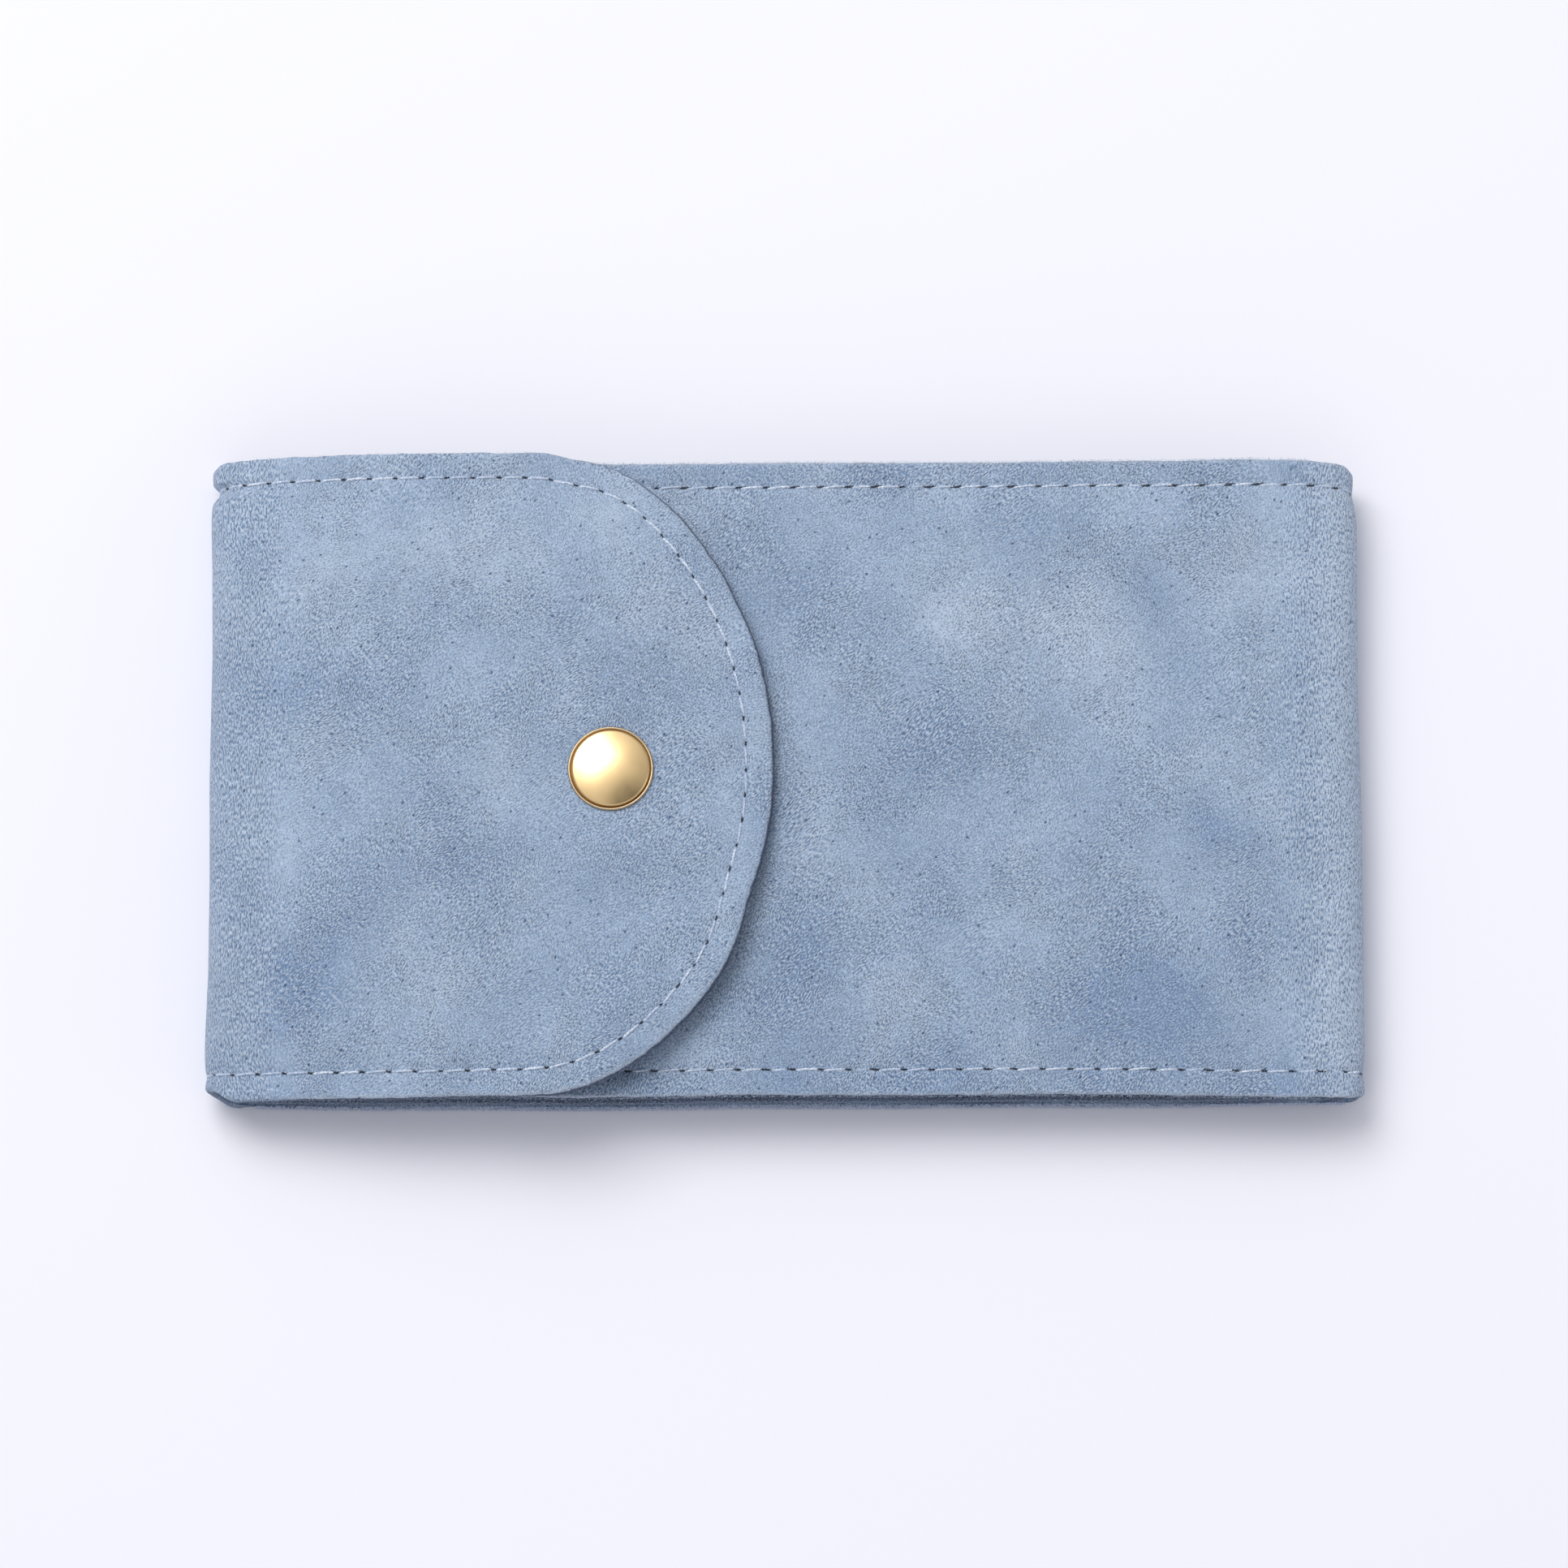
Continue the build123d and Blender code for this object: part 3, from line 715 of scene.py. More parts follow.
def tube(points, radius):
    """A closed tube along points, drawn as plies twisted together. Returns points and faces."""
    way = unit(np.gradient(points, axis=0))
    across = np.cross(way, (0.0, 0.0, 1.0))
    short = np.linalg.norm(across, axis=1) < 1e-3
    across[short] = np.cross(way[short], (0.0, 1.0, 0.0))
    across = unit(across)
    above = np.cross(across, way)
    turn = np.linspace(0, 2 * math.pi, THREAD_SIDES, endpoint=False)
    length = np.concatenate([[0], np.cumsum(np.linalg.norm(np.diff(points, axis=0), axis=1))])
    taper = 0.45 + 0.55 * smooth(np.minimum(length, length[-1] - length) / 0.35)
    lobe = 1 + 0.2 * np.cos(THREAD_PLIES * (turn[None] - THREAD_TWIST * length[:, None]))
    r = radius * taper[:, None] * lobe
    ring = across[:, None] * np.cos(turn)[None, :, None] + above[:, None] * np.sin(turn)[None, :, None]
    body = (points[:, None] + ring * r[..., None]).reshape(-1, 3)
    return np.concatenate([body, points[:1], points[-1:]]), ring_faces(len(points), THREAD_SIDES)


def ring_faces(rings, sides):
    """Faces of a closed tube of rings. Each end has one point more, numbered after all the rings."""
    index = np.arange(rings * sides).reshape(rings, sides)
    index = np.concatenate([index, index[:, :1]], axis=1)
    low, high, tip = index[0].tolist(), index[-1].tolist(), rings * sides
    fans = [(low[i], low[i + 1], tip) for i in range(sides)]
    return grid_faces(index) + fans + [(high[i + 1], high[i], tip + 1) for i in range(sides)]


def joined(parts):
    """Many small meshes as one list of points and faces."""
    points, faces, count = [], [], 0
    for p, f in parts:
        points.append(p)
        faces += [tuple(i + count for i in face) for face in f]
        count += len(p)
    return np.concatenate(points), faces


def stitch(surface, above, sunk, radius):
    """One stitch, from places on the surface and a little above them: it comes out of one needle hole and
    dives into the next, and follows the surface only in part."""
    share = (STITCH_STEPS - STITCH_STEPS[0]) / (STITCH_STEPS[-1] - STITCH_STEPS[0])
    straight = surface[0] + (surface[-1] - surface[0]) * share[:, None]
    t = np.clip((STITCH_STEPS - 0.07) / 0.86, 0, 1)
    height = -0.2 + 0.42 * np.sin(math.pi * t) ** 0.5 - sunk
    middle = surface * 0.35 + straight * 0.65
    return tube(middle + unit(above - surface) * height[:, None], THREAD_R * radius)


def shell_seam(side, rng):
    """Stitches along one side of the body: front, end fold, back and lower roll."""
    parts = []
    for i in range(SHELL_STITCHES):
        s = (i + STITCH_STEPS) * SHELL_PITCH
        lean = rng.uniform(0.07, 0.15) * np.cos(math.pi * STITCH_STEPS) + rng.uniform(-0.04, 0.04)
        y = side * (BODY_HALF - SEAM_INSET) - lean
        sunk = 0.17 * rng.random() ** 1.3
        parts.append(stitch(on_shell(s, y, 0.0), on_shell(s, y, -1.0), sunk, rng.uniform(0.72, 1.05)))
    points, faces = joined(parts)
    return over_table(points), faces


def flap_seam(rng):
    """Stitches along the flap's edge, from the roll's near side round the tip to its far side."""
    parts = []
    for i in range(FLAP_STITCHES):
        along = (i + STITCH_STEPS) * FLAP_SEAM_PITCH
        lean = 0.08 * np.cos(math.pi * STITCH_STEPS) + rng.uniform(-0.03, 0.03)
        before, after = flap_seam_place(along - 0.01), flap_seam_place(along + 0.01)
        way = unit(np.stack([after[1] - before[1], before[0] - after[0]], 1))
        u, y = (v + w * lean for v, w in zip(flap_seam_place(along), way.T))
        surface, above = (on_flap(u, y, depth, along, SEAM_INSET - lean) for depth in (0, -1.0))
        parts.append(stitch(surface, above, 0.05 * rng.random() ** 2, rng.uniform(0.9, 1.1)))
    return joined(parts)


# Loose fibres along the raw edges


def fibres(roots, ways, rng, length, radius):
    """Thin bent hairs: three-sided cones that leave the roots along the ways, each a little astray."""
    parts = []
    for root, way in zip(roots, ways):
        astray = rng.normal(0, 1, 3)
        way = unit(0.5 * way + astray * (1 if astray @ way > 0 else -1))
        reach = length * rng.uniform(0.4, 1.0)
        across = unit(np.cross(way, rng.normal(0, 1, 3)))
        above = np.cross(way, across)
        middle = root + way * reach * 0.5 + across * reach * 0.12
        tip = root + way * reach
        turns = [(math.cos(t), math.sin(t)) for t in (0.0, 2.1, 4.2)]
        low = [root - way * 0.05 + (across * c + above * s) * radius for c, s in turns]
        high = [middle + (across * c + above * s) * radius * 0.7 for c, s in turns]
        faces = [(i, (i + 1) % 3, 3 + (i + 1) % 3, 3 + i) for i in range(3)]
        faces += [(3 + i, 3 + (i + 1) % 3, 6) for i in range(3)] + [(2, 1, 0)]
        parts.append((np.array(low + high + [tip]), faces))
    points, faces = joined(parts)
    return over_table(points), faces


def shell_edge_fibres(side, lip, count, length, radius, rng):
    """Fibres on a cut edge of the body. lip is the strip's stretch (from, to), with the depths that they
    cover."""
    start, end, shallow, deep = lip
    s, depth = rng.uniform(start, end, count), rng.uniform(shallow, deep, count)
    y = side * (BODY_HALF + 0.12)
    roots = on_shell(s, y + 0 * s, depth)
    outward = unit(on_shell(s, y * 1.01, depth) - roots)
    return fibres(roots, outward + np.array([0, 0, 0.15]), rng, length, radius)


def flap_edge_fibres(count, length, radius, rng):
    """Fibres on the flap's cut edge."""
    start = ROLL_END_X + 1.5 - ROLL_START
    along = rng.uniform(start, FLAP_SEAM - start, count)
    u, y = flap_seam_place(along)
    after_u, after_y = flap_seam_place(along + 0.01)
    out = unit(np.stack([after_y - y, u - after_u], 1))
    depth = rng.uniform(0.1, EDGE_WALL, count)
    reaches = (SEAM_INSET + 0.1, SEAM_INSET + 1.1)
    roots, beyond = (on_flap(u + out[:, 0] * r, y + out[:, 1] * r, depth, along, 0 * u) for r in reaches)
    return fibres(roots, unit(beyond - roots), rng, length, radius)


# Materials


class Graph:
    """Short calls for the nodes of a material or the world. Lengths in the textures are in millimetres."""

    def __init__(self, tree):
        self.nodes, self.links = tree.nodes, tree.links

    def put(self, node, inputs):
        """Sets a node's inputs to plain values, or links other nodes' outputs to them."""
        for key, value in inputs.items():
            if isinstance(value, bpy.types.NodeSocket):
                self.links.new(value, node.inputs[key])
            else:
                node.inputs[key].default_value = value

    def node(self, kind, inputs, **settings):
        """The outputs of a new node."""
        node = self.nodes.new("ShaderNode" + kind)
        for key, value in settings.items():
            setattr(node, key, value)
        self.put(node, inputs)
        return node.outputs

    def attribute(self, name, output="Vector"):
        return self.node("Attribute", {}, attribute_name=name)[output]

    def place(self):
        """Places in the object's own axes."""
        return self.scaled(self.node("TexCoord", {})["Object"], 1 / MM)

    def math(self, operation, a, b=0.0):
        return self.node("Math", {0: a, 1: b}, operation=operation)[0]

    def product(self, a, b):
        return self.math("MULTIPLY", a, b)

    def vector(self, operation, a, b):
        return self.node("VectorMath", {0: a, 1: b}, operation=operation)[0]

    def scaled(self, vector, scale):
        return self.node("VectorMath", {0: vector, "Scale": scale}, operation="SCALE")[0]

    def dot(self, a, b):
        return self.node("VectorMath", {0: a, 1: b}, operation="DOT_PRODUCT")["Value"]

    def parts(self, vector):
        return self.node("SeparateXYZ", {0: vector})

    def noise(self, vector, size, detail=2.0, rough=0.5, distortion=0.0, colour=False, plane=True):
        inputs = {"Vector": vector, "Scale": 1.0 / size, "Detail": detail, "Roughness": rough}
        inputs["Distortion"] = distortion
        outputs = self.node("TexNoise", inputs, noise_dimensions="2D" if plane else "3D")
        return outputs["Color" if colour else "Fac"]

    def pores(self, vector, size, radius, share):
        """Small round dots, one in some of the cells."""
        cell = self.node("TexVoronoi", {"Vector": vector, "Scale": 1.0 / size}, voronoi_dimensions="2D")
        chosen = self.math("LESS_THAN", self.parts(cell["Color"])[0], share)
        return self.product(self.ramp(cell["Distance"], radius * 0.5, radius * 1.3, 1.0, 0.0), chosen)

    def blend(self, share, a, b):
        """A plain number between two others."""
        return self.node("Mix", {0: share, 2: a, 3: b})[0]

    def ramp(self, value, low, high, to_low=0.0, to_high=1.0, soft=True):
        inputs = {0: value, 1: low, 2: high, 3: to_low, 4: to_high}
        return self.node("MapRange", inputs, interpolation_type="SMOOTHSTEP" if soft else "LINEAR")[0]

    def mix(self, share, a, b, blend="MIX"):
        return self.node("Mix", {0: share, 6: a, 7: b}, data_type="RGBA", blend_type=blend)[2]

    def tint(self, colour, mask, share, other):
        """Another colour laid over one, as strongly as a mask times a share."""
        return self.mix(self.product(mask, share), colour, other)

    def shade(self, colour, value, low, high, dark, bright):
        """A colour times a grey that goes from dark to bright."""
        grey = self.ramp(value, low, high, dark, bright)
        return self.mix(1.0, colour, self.node("CombineColor", {0: grey, 1: grey, 2: grey})[0], "MULTIPLY")

    def stretched(self, vector, turn, along, across):
        """Texture places for features drawn out along a way that is turned that far from the x axis."""
        inputs = {"Vector": vector, "Rotation": (0, 0, turn), "Scale": (along, across, 1.0)}
        return self.node("Mapping", inputs, vector_type="TEXTURE")[0]

    def bump(self, height, distance):
        return self.node("Bump", {"Strength": 1.0, "Distance": distance * MM, "Height": height})[0]


def new_material(name):
    """An empty node material, its graph and its shader."""
    material = bpy.data.materials.new(name)
    material.use_nodes = True
    return material, Graph(material.node_tree), material.node_tree.nodes["Principled BSDF"]


def rgb(r, g, b):
    """A colour given as it shows on screen, from 0 to 255, as the linear colour that a shader takes."""
    values = [v / 255 for v in (r, g, b)]
    return tuple(v / 12.92 if v <= 0.04045 else ((v + 0.055) / 1.055) ** 2.4 for v in values) + (1.0,)


# Places along the strip where the upright nap by the roll ends, and where that by the end fold starts
STEEP_LEFT = SHELL_LENGTH + 9.0
STEEP_RIGHT = FRONT - 9.0


def nap_field(g, place, drifted):
    """Fine wrinkles of the nap, from 0 to 1, and where they stand upright, towards the folds. Elsewhere they
    rise to the right."""
    kinds = ((0.7, 2.2, 0.165), (1.05, 2.1, 0.16), (1.5, 2.6, 0.18))
    slanting, steep, upright = (
        g.noise(g.stretched(drifted, turn, long, 1.0), size, 0.8, 0.5, 0.15) for turn, long, size in kinds
    )
    mixed = g.blend(g.ramp(g.noise(place, 8.0, 1.0), 0.44, 0.58), slanting, steep)
    s = g.parts(place)[0]
    left = g.ramp(s, STEEP_LEFT, STEEP_LEFT + 7.0, 1.0, 0.0)
    left = g.product(left, g.ramp(s, SHELL_LENGTH - 12.0, SHELL_LENGTH))
    right = g.ramp(s, FRONT + 10.0, FRONT + 16.0, 1.0, 0.0)
    right = g.product(g.ramp(s, STEEP_RIGHT, STEEP_RIGHT + 8.0), right)
    standing = g.math("MAXIMUM", left, right)
    return g.blend(standing, mixed, upright), standing


def needle_holes(g, place):
    """1 in the small slits where the thread goes in, between two stitches."""
    along, off, slit = g.parts(g.attribute("seam"))
    nearest = g.math("SUBTRACT", g.math("FRACT", g.math("ADD", along, 0.5)), 0.5)
    way = g.product(nearest, BODY_PITCH)
    size = g.ramp(g.noise(place, 2.2, 0.0), 0.3, 0.7, 0.7, 1.3)
    long = g.math("DIVIDE", way, g.product(size, slit))
    wide = g.math("DIVIDE", g.math("ADD", off, g.product(way, 0.08)), 0.125)
    reach = g.math("SQRT", g.math("ADD", g.product(long, long), g.product(wide, wide)))
    rough = g.math("ADD", reach, g.ramp(g.noise(place, 0.2, 1.0), 0.3, 0.7, -0.35, 0.35))
    return g.ramp(rough, 0.6, 1.3, 1.0, 0.0)


def suede_material(name, dark, middle, light, edge, depth=1.0):
    """Brushed suede: clouds of lighter and darker nap, which also carry the painted light on the end fold and
    the painted shade on the border and gussets; fine wrinkles, partly their own tone and partly painted
    shade in their hollows and painted highlight on their ridges; sparse pores; needle holes filled with
    painted shade; pale raw edges, partly painted highlight, with painted shade below them. The depth
    makes its grain stronger."""
    material, g, shader = new_material(name)
    place = g.attribute("flat")
    drift = g.vector("SUBTRACT", g.noise(place, 15.0, 1.0, 0.4, colour=True), (0.5, 0.5, 0.5))
    drifted = g.vector("ADD", place, g.scaled(drift, 3.5))
    tone = g.attribute("cloud", "Fac")
    colour = g.mix(g.ramp(tone, -1.0, 0.0, soft=False), dark, middle)
    colour = g.mix(g.ramp(tone, 0.0, 1.0, soft=False), colour, light)
    nap, standing = nap_field(g, place, drifted)
    grain = g.noise(place, 0.14, 1.0, 0.6)
    brushed = g.ramp(g.noise(place, 12.0, 1.0, 0.5), 0.32, 0.62, 0.75, 1.2)
    brushed = g.math("MAXIMUM", brushed, g.product(standing, 1.12))
    # The wrinkles' colour is partly the nap's own tone, and partly painted shade in their hollows and painted
    # highlight on their ridges.
    colour = g.mix(g.product(brushed, g.ramp(nap, 0.5, 0.3, 0.0, 0.57)), colour, rgb(84, 106, 140))
    colour = g.mix(g.product(brushed, g.ramp(nap, 0.48, 0.68, 0.0, 0.52)), colour, rgb(205, 214, 227))
    colour = g.shade(colour, grain, 0.3, 0.7, 1 - 0.16 * depth, 1 + 0.16 * depth)
    smudge = g.noise(g.stretched(drifted, 0.6, 2.2, 1.0), 0.9, 2.0, 0.6)
    colour = g.shade(colour, smudge, 0.3, 0.7, 0.945, 1.055)
    pores = g.pores(g.stretched(drifted, 0.9, 1.4, 1.0), 2.6, 0.055, 0.5)
    dots = g.pores(g.stretched(drifted, 0.6, 1.8, 1.0), 0.95, 0.1, 0.35)
    colour = g.tint(colour, pores, 0.75, rgb(56, 76, 110))
    colour = g.tint(colour, dots, 0.5, rgb(68, 88, 120))
    cut = g.attribute("cut", "Fac")
    # The pale raw edge: partly its own colour, and partly painted highlight along the upper arris.
    frayed_and_highlit = g.product(cut, g.ramp(g.noise(place, 0.5, 3.0, 0.7), 0.35, 0.6, 0.35, 1.0))
    colour = g.tint(colour, frayed_and_highlit, 0.6, edge)
    # Painted shade: a negative cut value darkens the cut face below the arris, and the gussets.
    colour = g.mix(g.ramp(cut, -1.0, 0.0, 1.0, 0.0, soft=False), colour, rgb(56, 68, 94))
    holes = needle_holes(g, place)
    # Painted shade: the needle holes are filled with a near black, where the hole hides the light.
    colour = g.tint(colour, holes, 0.93, rgb(20, 28, 46))
    height = g.math("ADD", g.product(nap, brushed), g.product(grain, 0.15))
    for mask, deep in ((pores, 0.3), (holes, 1.4)):
        height = g.math("SUBTRACT", height, g.product(mask, deep))
    g.put(shader, {"Base Color": colour, "Normal": g.bump(height, 0.18 * depth), "Roughness": 0.9})
    g.put(shader, {"Specular IOR Level": 0.2, "Sheen Weight": 0.3, "Sheen Roughness": 0.35})
    g.put(shader, {"Sheen Tint": (0.85, 0.88, 0.95, 1.0)})
    return material


def thread_material():
    """Pale twisted thread."""
    material, g, shader = new_material("thread")
    place = g.place()
    fluff = g.noise(place, 0.25, 3.0, 0.6, plane=False)
    colour = g.mix(g.ramp(fluff, 0.35, 0.65), rgb(158, 178, 208), rgb(236, 242, 250))
    wear = g.ramp(g.noise(place, 7.0, 1.0, plane=False), 0.4, 0.62)
    colour = g.tint(colour, wear, 0.45, rgb(148, 168, 198))
    g.put(shader, {"Base Color": colour, "Normal": g.bump(fluff, 0.05)})
    g.put(shader, {"Roughness": 0.62, "Sheen Weight": 0.2})
    return material


def metal_material(name, colour, roughness, mark):
    """Polished metal with faint wear."""
    material, g, shader = new_material(name)
    place = g.place()
    haze = g.noise(place, 1.6, 4.0, 0.6, plane=False)
    dull = tuple(v * 0.88 for v in colour[:3]) + (1.0,)
    tone = g.mix(g.ramp(g.noise(place, 3.0, 2.0, plane=False), 0.3, 0.7, 0.0, 0.5), colour, dull)
    scratch = g.noise(g.stretched(place, 0.7, 3.0, 0.15), 0.8, 2.0, 0.6)
    g.put(shader, {"Base Color": tone, "Metallic": 1.0, "Normal": g.bump(scratch, 0.0015)})
    g.put(shader, {"Roughness": g.ramp(haze, 0.3, 0.7, roughness, roughness + mark)})
    return material


def cloth_material(name, dark, light):
    """Smooth microfibre lining."""
    material, g, shader = new_material(name)
    place = g.attribute("flat")
    broad, fine = g.noise(place, 14.0, 3.0, 0.6), g.noise(place, 1.1, 3.0, 0.6)
    tone = g.math("ADD", g.product(broad, 0.6), g.product(fine, 0.4))
    fibre = g.noise(g.stretched(place, 0.3, 2.0, 0.9), 0.2, 2.0, 0.6)
    colour = g.mix(g.ramp(tone, 0.22, 0.78), dark, light)
    colour = g.shade(colour, fibre, 0.25, 0.75, 0.88, 1.1)
    g.put(shader, {"Base Color": colour, "Normal": g.bump(fibre, 0.07), "Roughness": 0.9})
    g.put(shader, {"Sheen Weight": 0.25, "Sheen Roughness": 0.4})
    return material


def plain_material(name, colour, roughness):
    """One dull colour."""
    material, g, shader = new_material(name)
    g.put(shader, {"Base Color": colour, "Roughness": roughness, "Specular IOR Level": 0.1})
    return material


suede = suede_material("suede", rgb(125, 148, 179), rgb(150, 170, 196), rgb(174, 191, 213),
                       rgb(196, 203, 214))
# The gusset's colours are darker than the suede's: painted shade for the hollow between the lips.
shaded_gusset_suede = suede_material("shaded_gusset_suede", rgb(118, 136, 164), rgb(134, 151, 178), rgb(152, 167, 191),
                              rgb(170, 178, 192), 2.4)
lining_cloth = cloth_material("lining", rgb(118, 136, 164), rgb(140, 157, 183))
pale_fibre = plain_material("pale_fibre", rgb(178, 190, 208), 0.9)
back_fibre = plain_material("back_fibre", rgb(198, 208, 230), 0.9)
thread = thread_material()
brass = metal_material("brass", (0.92, 0.67, 0.345, 1.0), 0.28, 0.04)
# Painted shade and painted dark reflection: the cap's rolled bead gets a darker brass.
shaded_rim_brass = metal_material("shaded_rim_brass", (0.5, 0.4, 0.27, 1.0), 0.34, 0.05)
steel = metal_material("spring_steel", (0.62, 0.62, 0.63, 1.0), 0.25, 0.1)


# The pieces


def bend_with_fold(piece, upper):
    """Bakes the piece's place into its mesh, in the same way for the flap's pieces and the body's."""
    if upper:
        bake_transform(piece)
    else:
        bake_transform(piece)


def fibre_piece(name, body, part, material):
    """A bunch of fibres as a piece of one body."""
    piece = write_mesh(name, *part, [material])
    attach(piece, body)


shell_suede = shell_sheet("shell_suede", shell_columns(0.45, 0.4), shell_columns(1.6, 0.8), (0.0, SUEDE),
                          NEAR_ROWS, 0.95, suede, CUT_ROUND)
bend_with_fold(shell_suede, False)
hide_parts("outer_shell", "fold_outer")

shell_cloth = shell_sheet("shell_lining_cloth", shell_columns(1.6, 0.6), shell_columns(1.6, 0.6),
                          (SUEDE + 0.02, EDGE_WALL), LINING_ROWS, 2.5, lining_cloth, 0.1)
bend_with_fold(shell_cloth, False)
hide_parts("shell_lining", "fold_lining", "front_stiffener", "back_stiffener")

flap_suede = flap_sheet("flap_suede", (0.0, SUEDE), NEAR_ROWS, 38, 0.4, 300, suede, CUT_ROUND)
bend_with_fold(flap_suede, True)
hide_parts("flap_outer")

flap_cloth = flap_sheet("flap_lining_cloth", (SUEDE + 0.02, EDGE_WALL), LINING_ROWS, 16, 1.0, 150,
                        lining_cloth, 0.1)
bend_with_fold(flap_cloth, True)
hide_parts("flap_lining", "flap_stiffener")

for side, node in ((1, "far_gusset"), (-1, "near_gusset")):
    gusset = gusset_sheet(node + "_suede", side, shaded_gusset_suede)
    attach(gusset, "pouch")
    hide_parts(node)

for side, name in ((1, "far_seam_thread"), (-1, "near_seam_thread")):
    points, faces = shell_seam(side, np.random.default_rng(100 + side))
    seam = write_mesh(name, points, faces, [thread])
    bend_with_fold(seam, False)

points, faces = flap_seam(np.random.default_rng(7))
flap_thread = write_mesh("flap_seam_thread", points, faces, [thread])
bend_with_fold(flap_thread, True)

# Lengths of the body's strip that have fibres, from and to, and their depths, from and to
FRONT_LIP = (1.5, FRONT - 1.0, 0.0, 1.4)
BACK_LIP = (FRONT + END_FOLD - 3.0, FRONT + END_FOLD + BACK - 1.0, 0.0, 2.8)
rng = np.random.default_rng(12)
for side, word in ((1, "far"), (-1, "near")):
    front_fibres = shell_edge_fibres(side, FRONT_LIP, 1500, 0.18, 0.035, rng)
    fibre_piece(word + "_front_fibres", "pouch", front_fibres, pale_fibre)
    back_fibres = shell_edge_fibres(side, BACK_LIP, 8000, 0.22, 0.045, rng)
    fibre_piece(word + "_back_fibres", "pouch", back_fibres, back_fibre)
fibre_piece("flap_fibres", "flap", flap_edge_fibres(1300, 0.22, 0.02, rng), pale_fibre)


def turned_mesh(name, profile, segments, materials, rim_from):
    """A closed piece turned about the snap's axis, from a profile that starts and ends on the axis. From
    one place of the profile on, it takes the second material."""
    profile = np.asarray(profile)
    turn = np.linspace(0, 2 * math.pi, segments, endpoint=False)
    r, z = profile[1:-1].T
    ring = [SNAP_X + np.outer(r, np.cos(turn)), np.outer(r, np.sin(turn)), np.outer(z, 1 + 0 * turn)]
    ends = [[SNAP_X, 0, profile[0][1]], [SNAP_X, 0, profile[-1][1]]]
    points = np.concatenate([np.stack(ring, -1).reshape(-1, 3), ends])
    piece = write_mesh(name, points, ring_faces(len(r), segments), materials)
    slots = np.append(np.arange(len(r) - 1) >= rim_from, [0, 1])
    piece.data.polygons.foreach_set("material_index", np.repeat(slots, segments).astype(np.int32))
    return piece


def cap_profile():
    """Radius and height along the cap: the dome, its tight shoulder, a groove and the rolled bead."""
    bead, shoulder, dome_r, fall = 0.17, 0.28, 4.52, 0.72
    top, base = CAP_HIGH[2], CAP_LOW[2]
    r = np.linspace(0, dome_r, 34)
    line = list(zip(r, top - fall * (r / dome_r) ** 2))
    slope = math.atan(2 * fall / dome_r)
    for turn in np.linspace(slope, math.radians(78), 10)[1:]:
        out = shoulder * (math.sin(turn) - math.sin(slope))
        line.append((dome_r + out, top - fall - shoulder * (math.cos(slope) - math.cos(turn))))
    line.append((line[-1][0] + 0.01, base + 0.08))
    turns = np.linspace(math.radians(175), math.radians(-85), 20)
    line += [(CAP_RADIUS - bead + bead * math.cos(t), base + bead + bead * math.sin(t)) for t in turns]
    return line + [(CAP_RADIUS - 1.1, base), (0, base)]


# The bead takes the darker brass: painted shade and dark reflection.
cap = turned_mesh("snap_cap_dome", cap_profile(), 128, [brass, shaded_rim_brass], 42)
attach(cap, "flap")
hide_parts("snap_cap")

for node in ("cap_post", "snap_socket", "snap_stud", "stud_eyelet", "socket_spring"):
    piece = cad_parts[node]
    piece.data.materials.clear()
    piece.data.materials.append(steel if node == "socket_spring" else brass)


# Floor, light and camera


def floor_piece():
    """A wide pale floor."""
    size = 3000.0
    corners = [(-size, -size, 0), (size, -size, 0), (size, size, 0), (-size, size, 0)]
    material = plain_material("floor", rgb(243, 243, 251), 0.85)
    piece = write_mesh("floor", corners, [(0, 1, 2, 3)], [material])


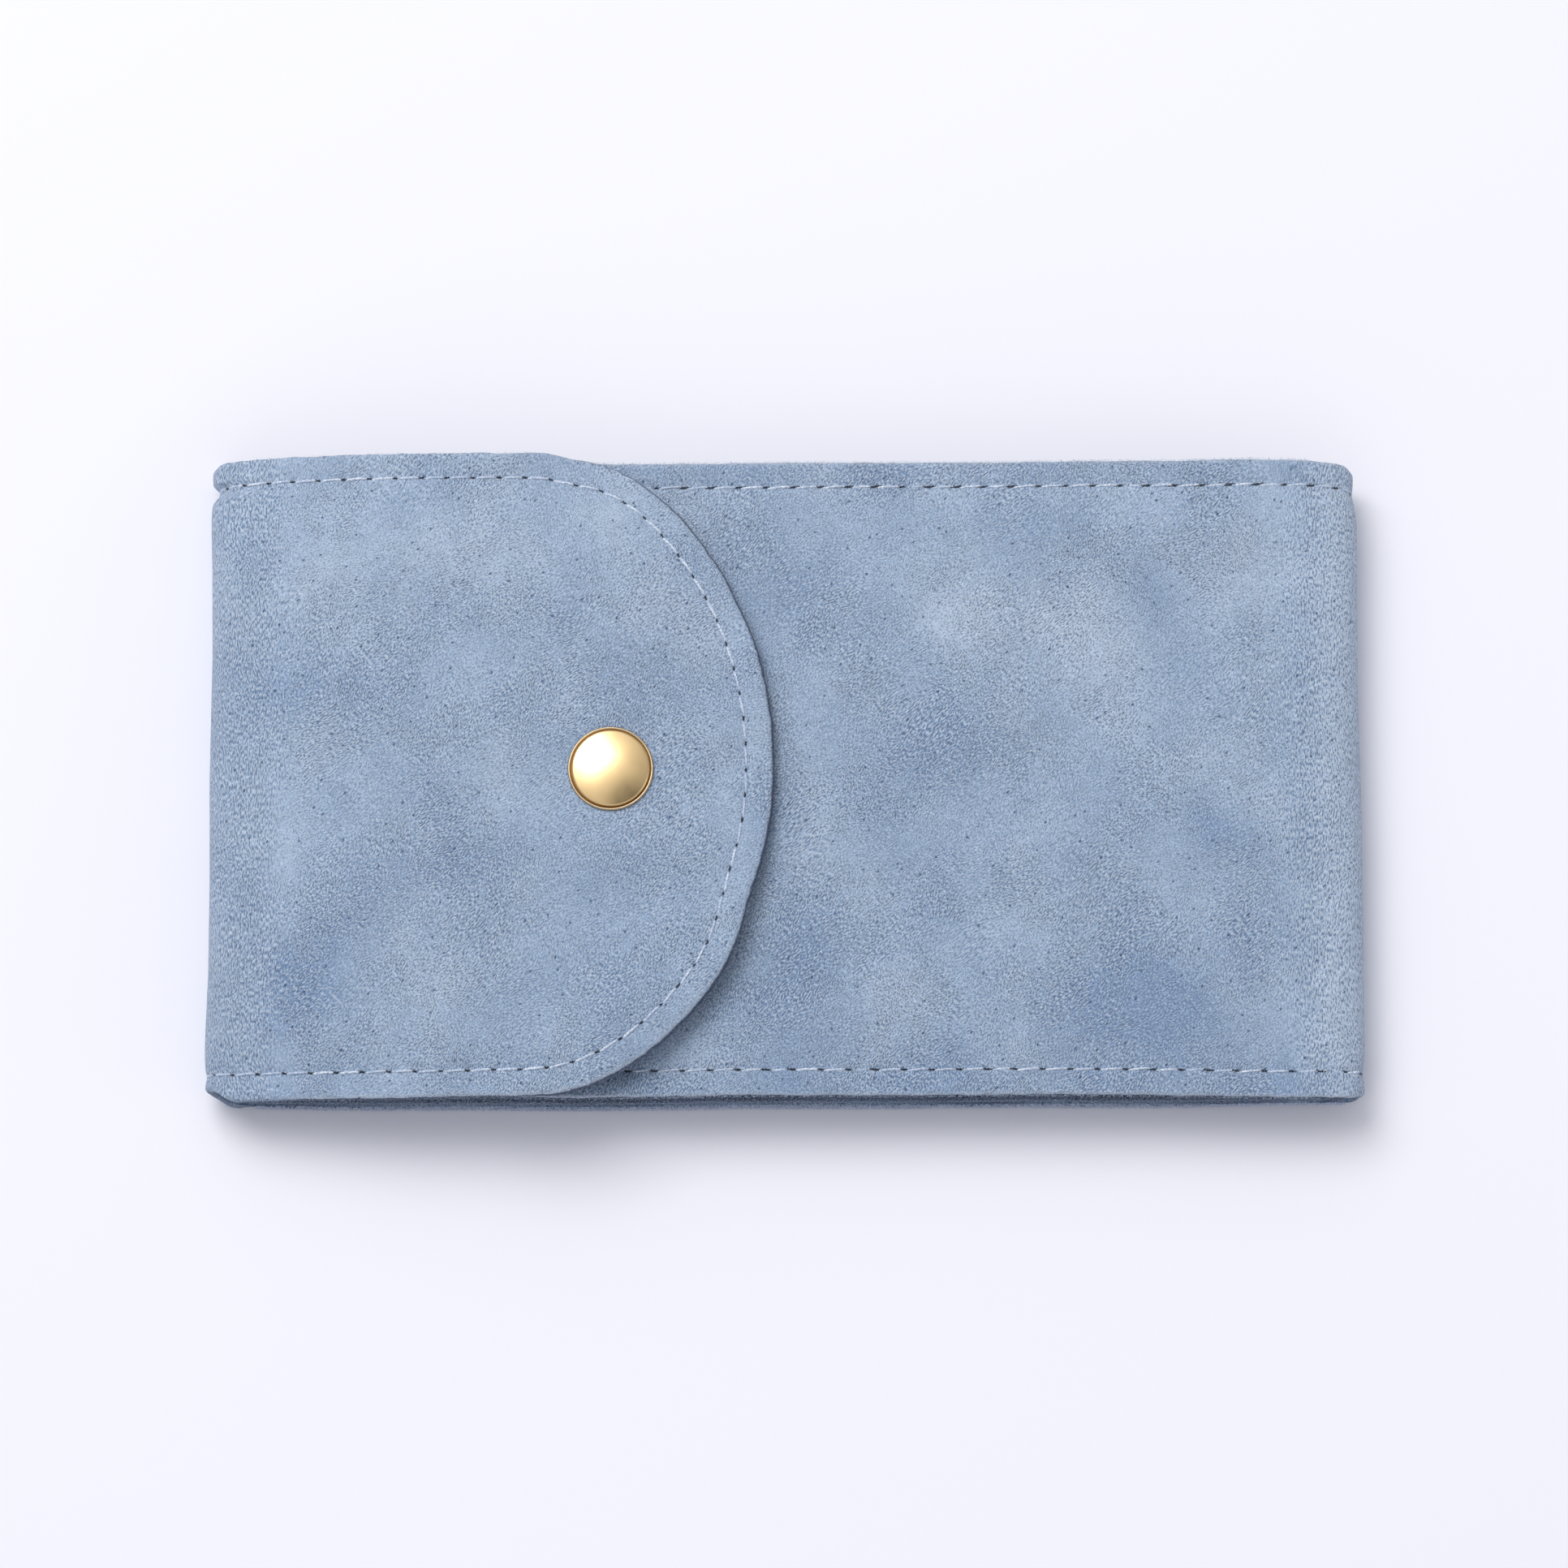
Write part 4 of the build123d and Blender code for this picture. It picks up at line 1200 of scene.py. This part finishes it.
def place_and_aim(name, data, place, target):
    """A lamp or camera, with its place in metres, turned towards a point."""
    piece = bpy.data.objects.new(name, data)
    piece.location = place
    bpy.context.scene.collection.objects.link(piece)
    piece.rotation_mode = "QUATERNION"
    way = np.array(target) - np.array(piece.location)
    piece.rotation_quaternion = Vector(way).to_track_quat("-Z", "Y")
    return piece


def area_lamp(name, place, size, power, colour):
    """A square soft light."""
    data = bpy.data.lights.new(name, "AREA")
    data.size, data.energy, data.color = size, power, colour
    place_and_aim(name, data, place, (0, 0, 0))


def world_light():
    """Grey studio walls that are lighter on the near side, a wide white screen high to the far left, and a
    dark patch overhead on the near right."""
    world = bpy.data.worlds.new("studio")
    world.use_nodes = True
    bpy.context.scene.world = world
    g = Graph(world.node_tree)
    way = g.node("TexCoord", {})["Generated"]
    screen = g.ramp(g.dot(way, (-0.24, 0.44, 0.865)), 0.66, 0.9)
    walls = g.mix(screen, (0.385, 0.39, 0.41, 1.0), (0.88, 0.885, 0.91, 1.0))
    near = g.ramp(g.dot(way, (0.0, -0.9, 0.43)), 0.1, 0.9, 0.0, 0.5)
    walls = g.mix(near, walls, (0.95, 0.95, 0.98, 1.0))
    patch = g.ramp(g.dot(way, (0.3, -0.36, 0.885)), 0.9, 0.975)
    colour = g.mix(patch, walls, (0.1, 0.1, 0.1, 1.0))
    g.put(world.node_tree.nodes["Background"], {"Color": colour, "Strength": 1.0})


def photo_camera():
    """The photograph's view: from high over the near side, with a long lens."""
    tilt, distance, sensor = math.radians(77.0), 1000.0, 36.0
    focal_pixels, photo_pixels = 10125.0, 1932.0
    target = np.array([0.07, -0.4, 6.0])
    data = bpy.data.cameras.new("camera")
    data.lens, data.sensor_width = focal_pixels / photo_pixels * sensor, sensor
    data.clip_start, data.clip_end = 0.05, 10.0
    way = np.array([0.0, -math.cos(tilt), math.sin(tilt)])
    bpy.context.scene.camera = place_and_aim("camera", data, (target + way * distance) * MM, target * MM)


floor_piece()
world_light()
area_lamp("key", (-0.42, 0.56, 1.1), 0.8, 9.5, (1.0, 0.995, 0.98))
area_lamp("fill", (0.85, -0.2, 0.32), 0.4, 0.6, (0.98, 0.99, 1.0))
photo_camera()
bpy.context.scene.view_settings.view_transform = "Standard"
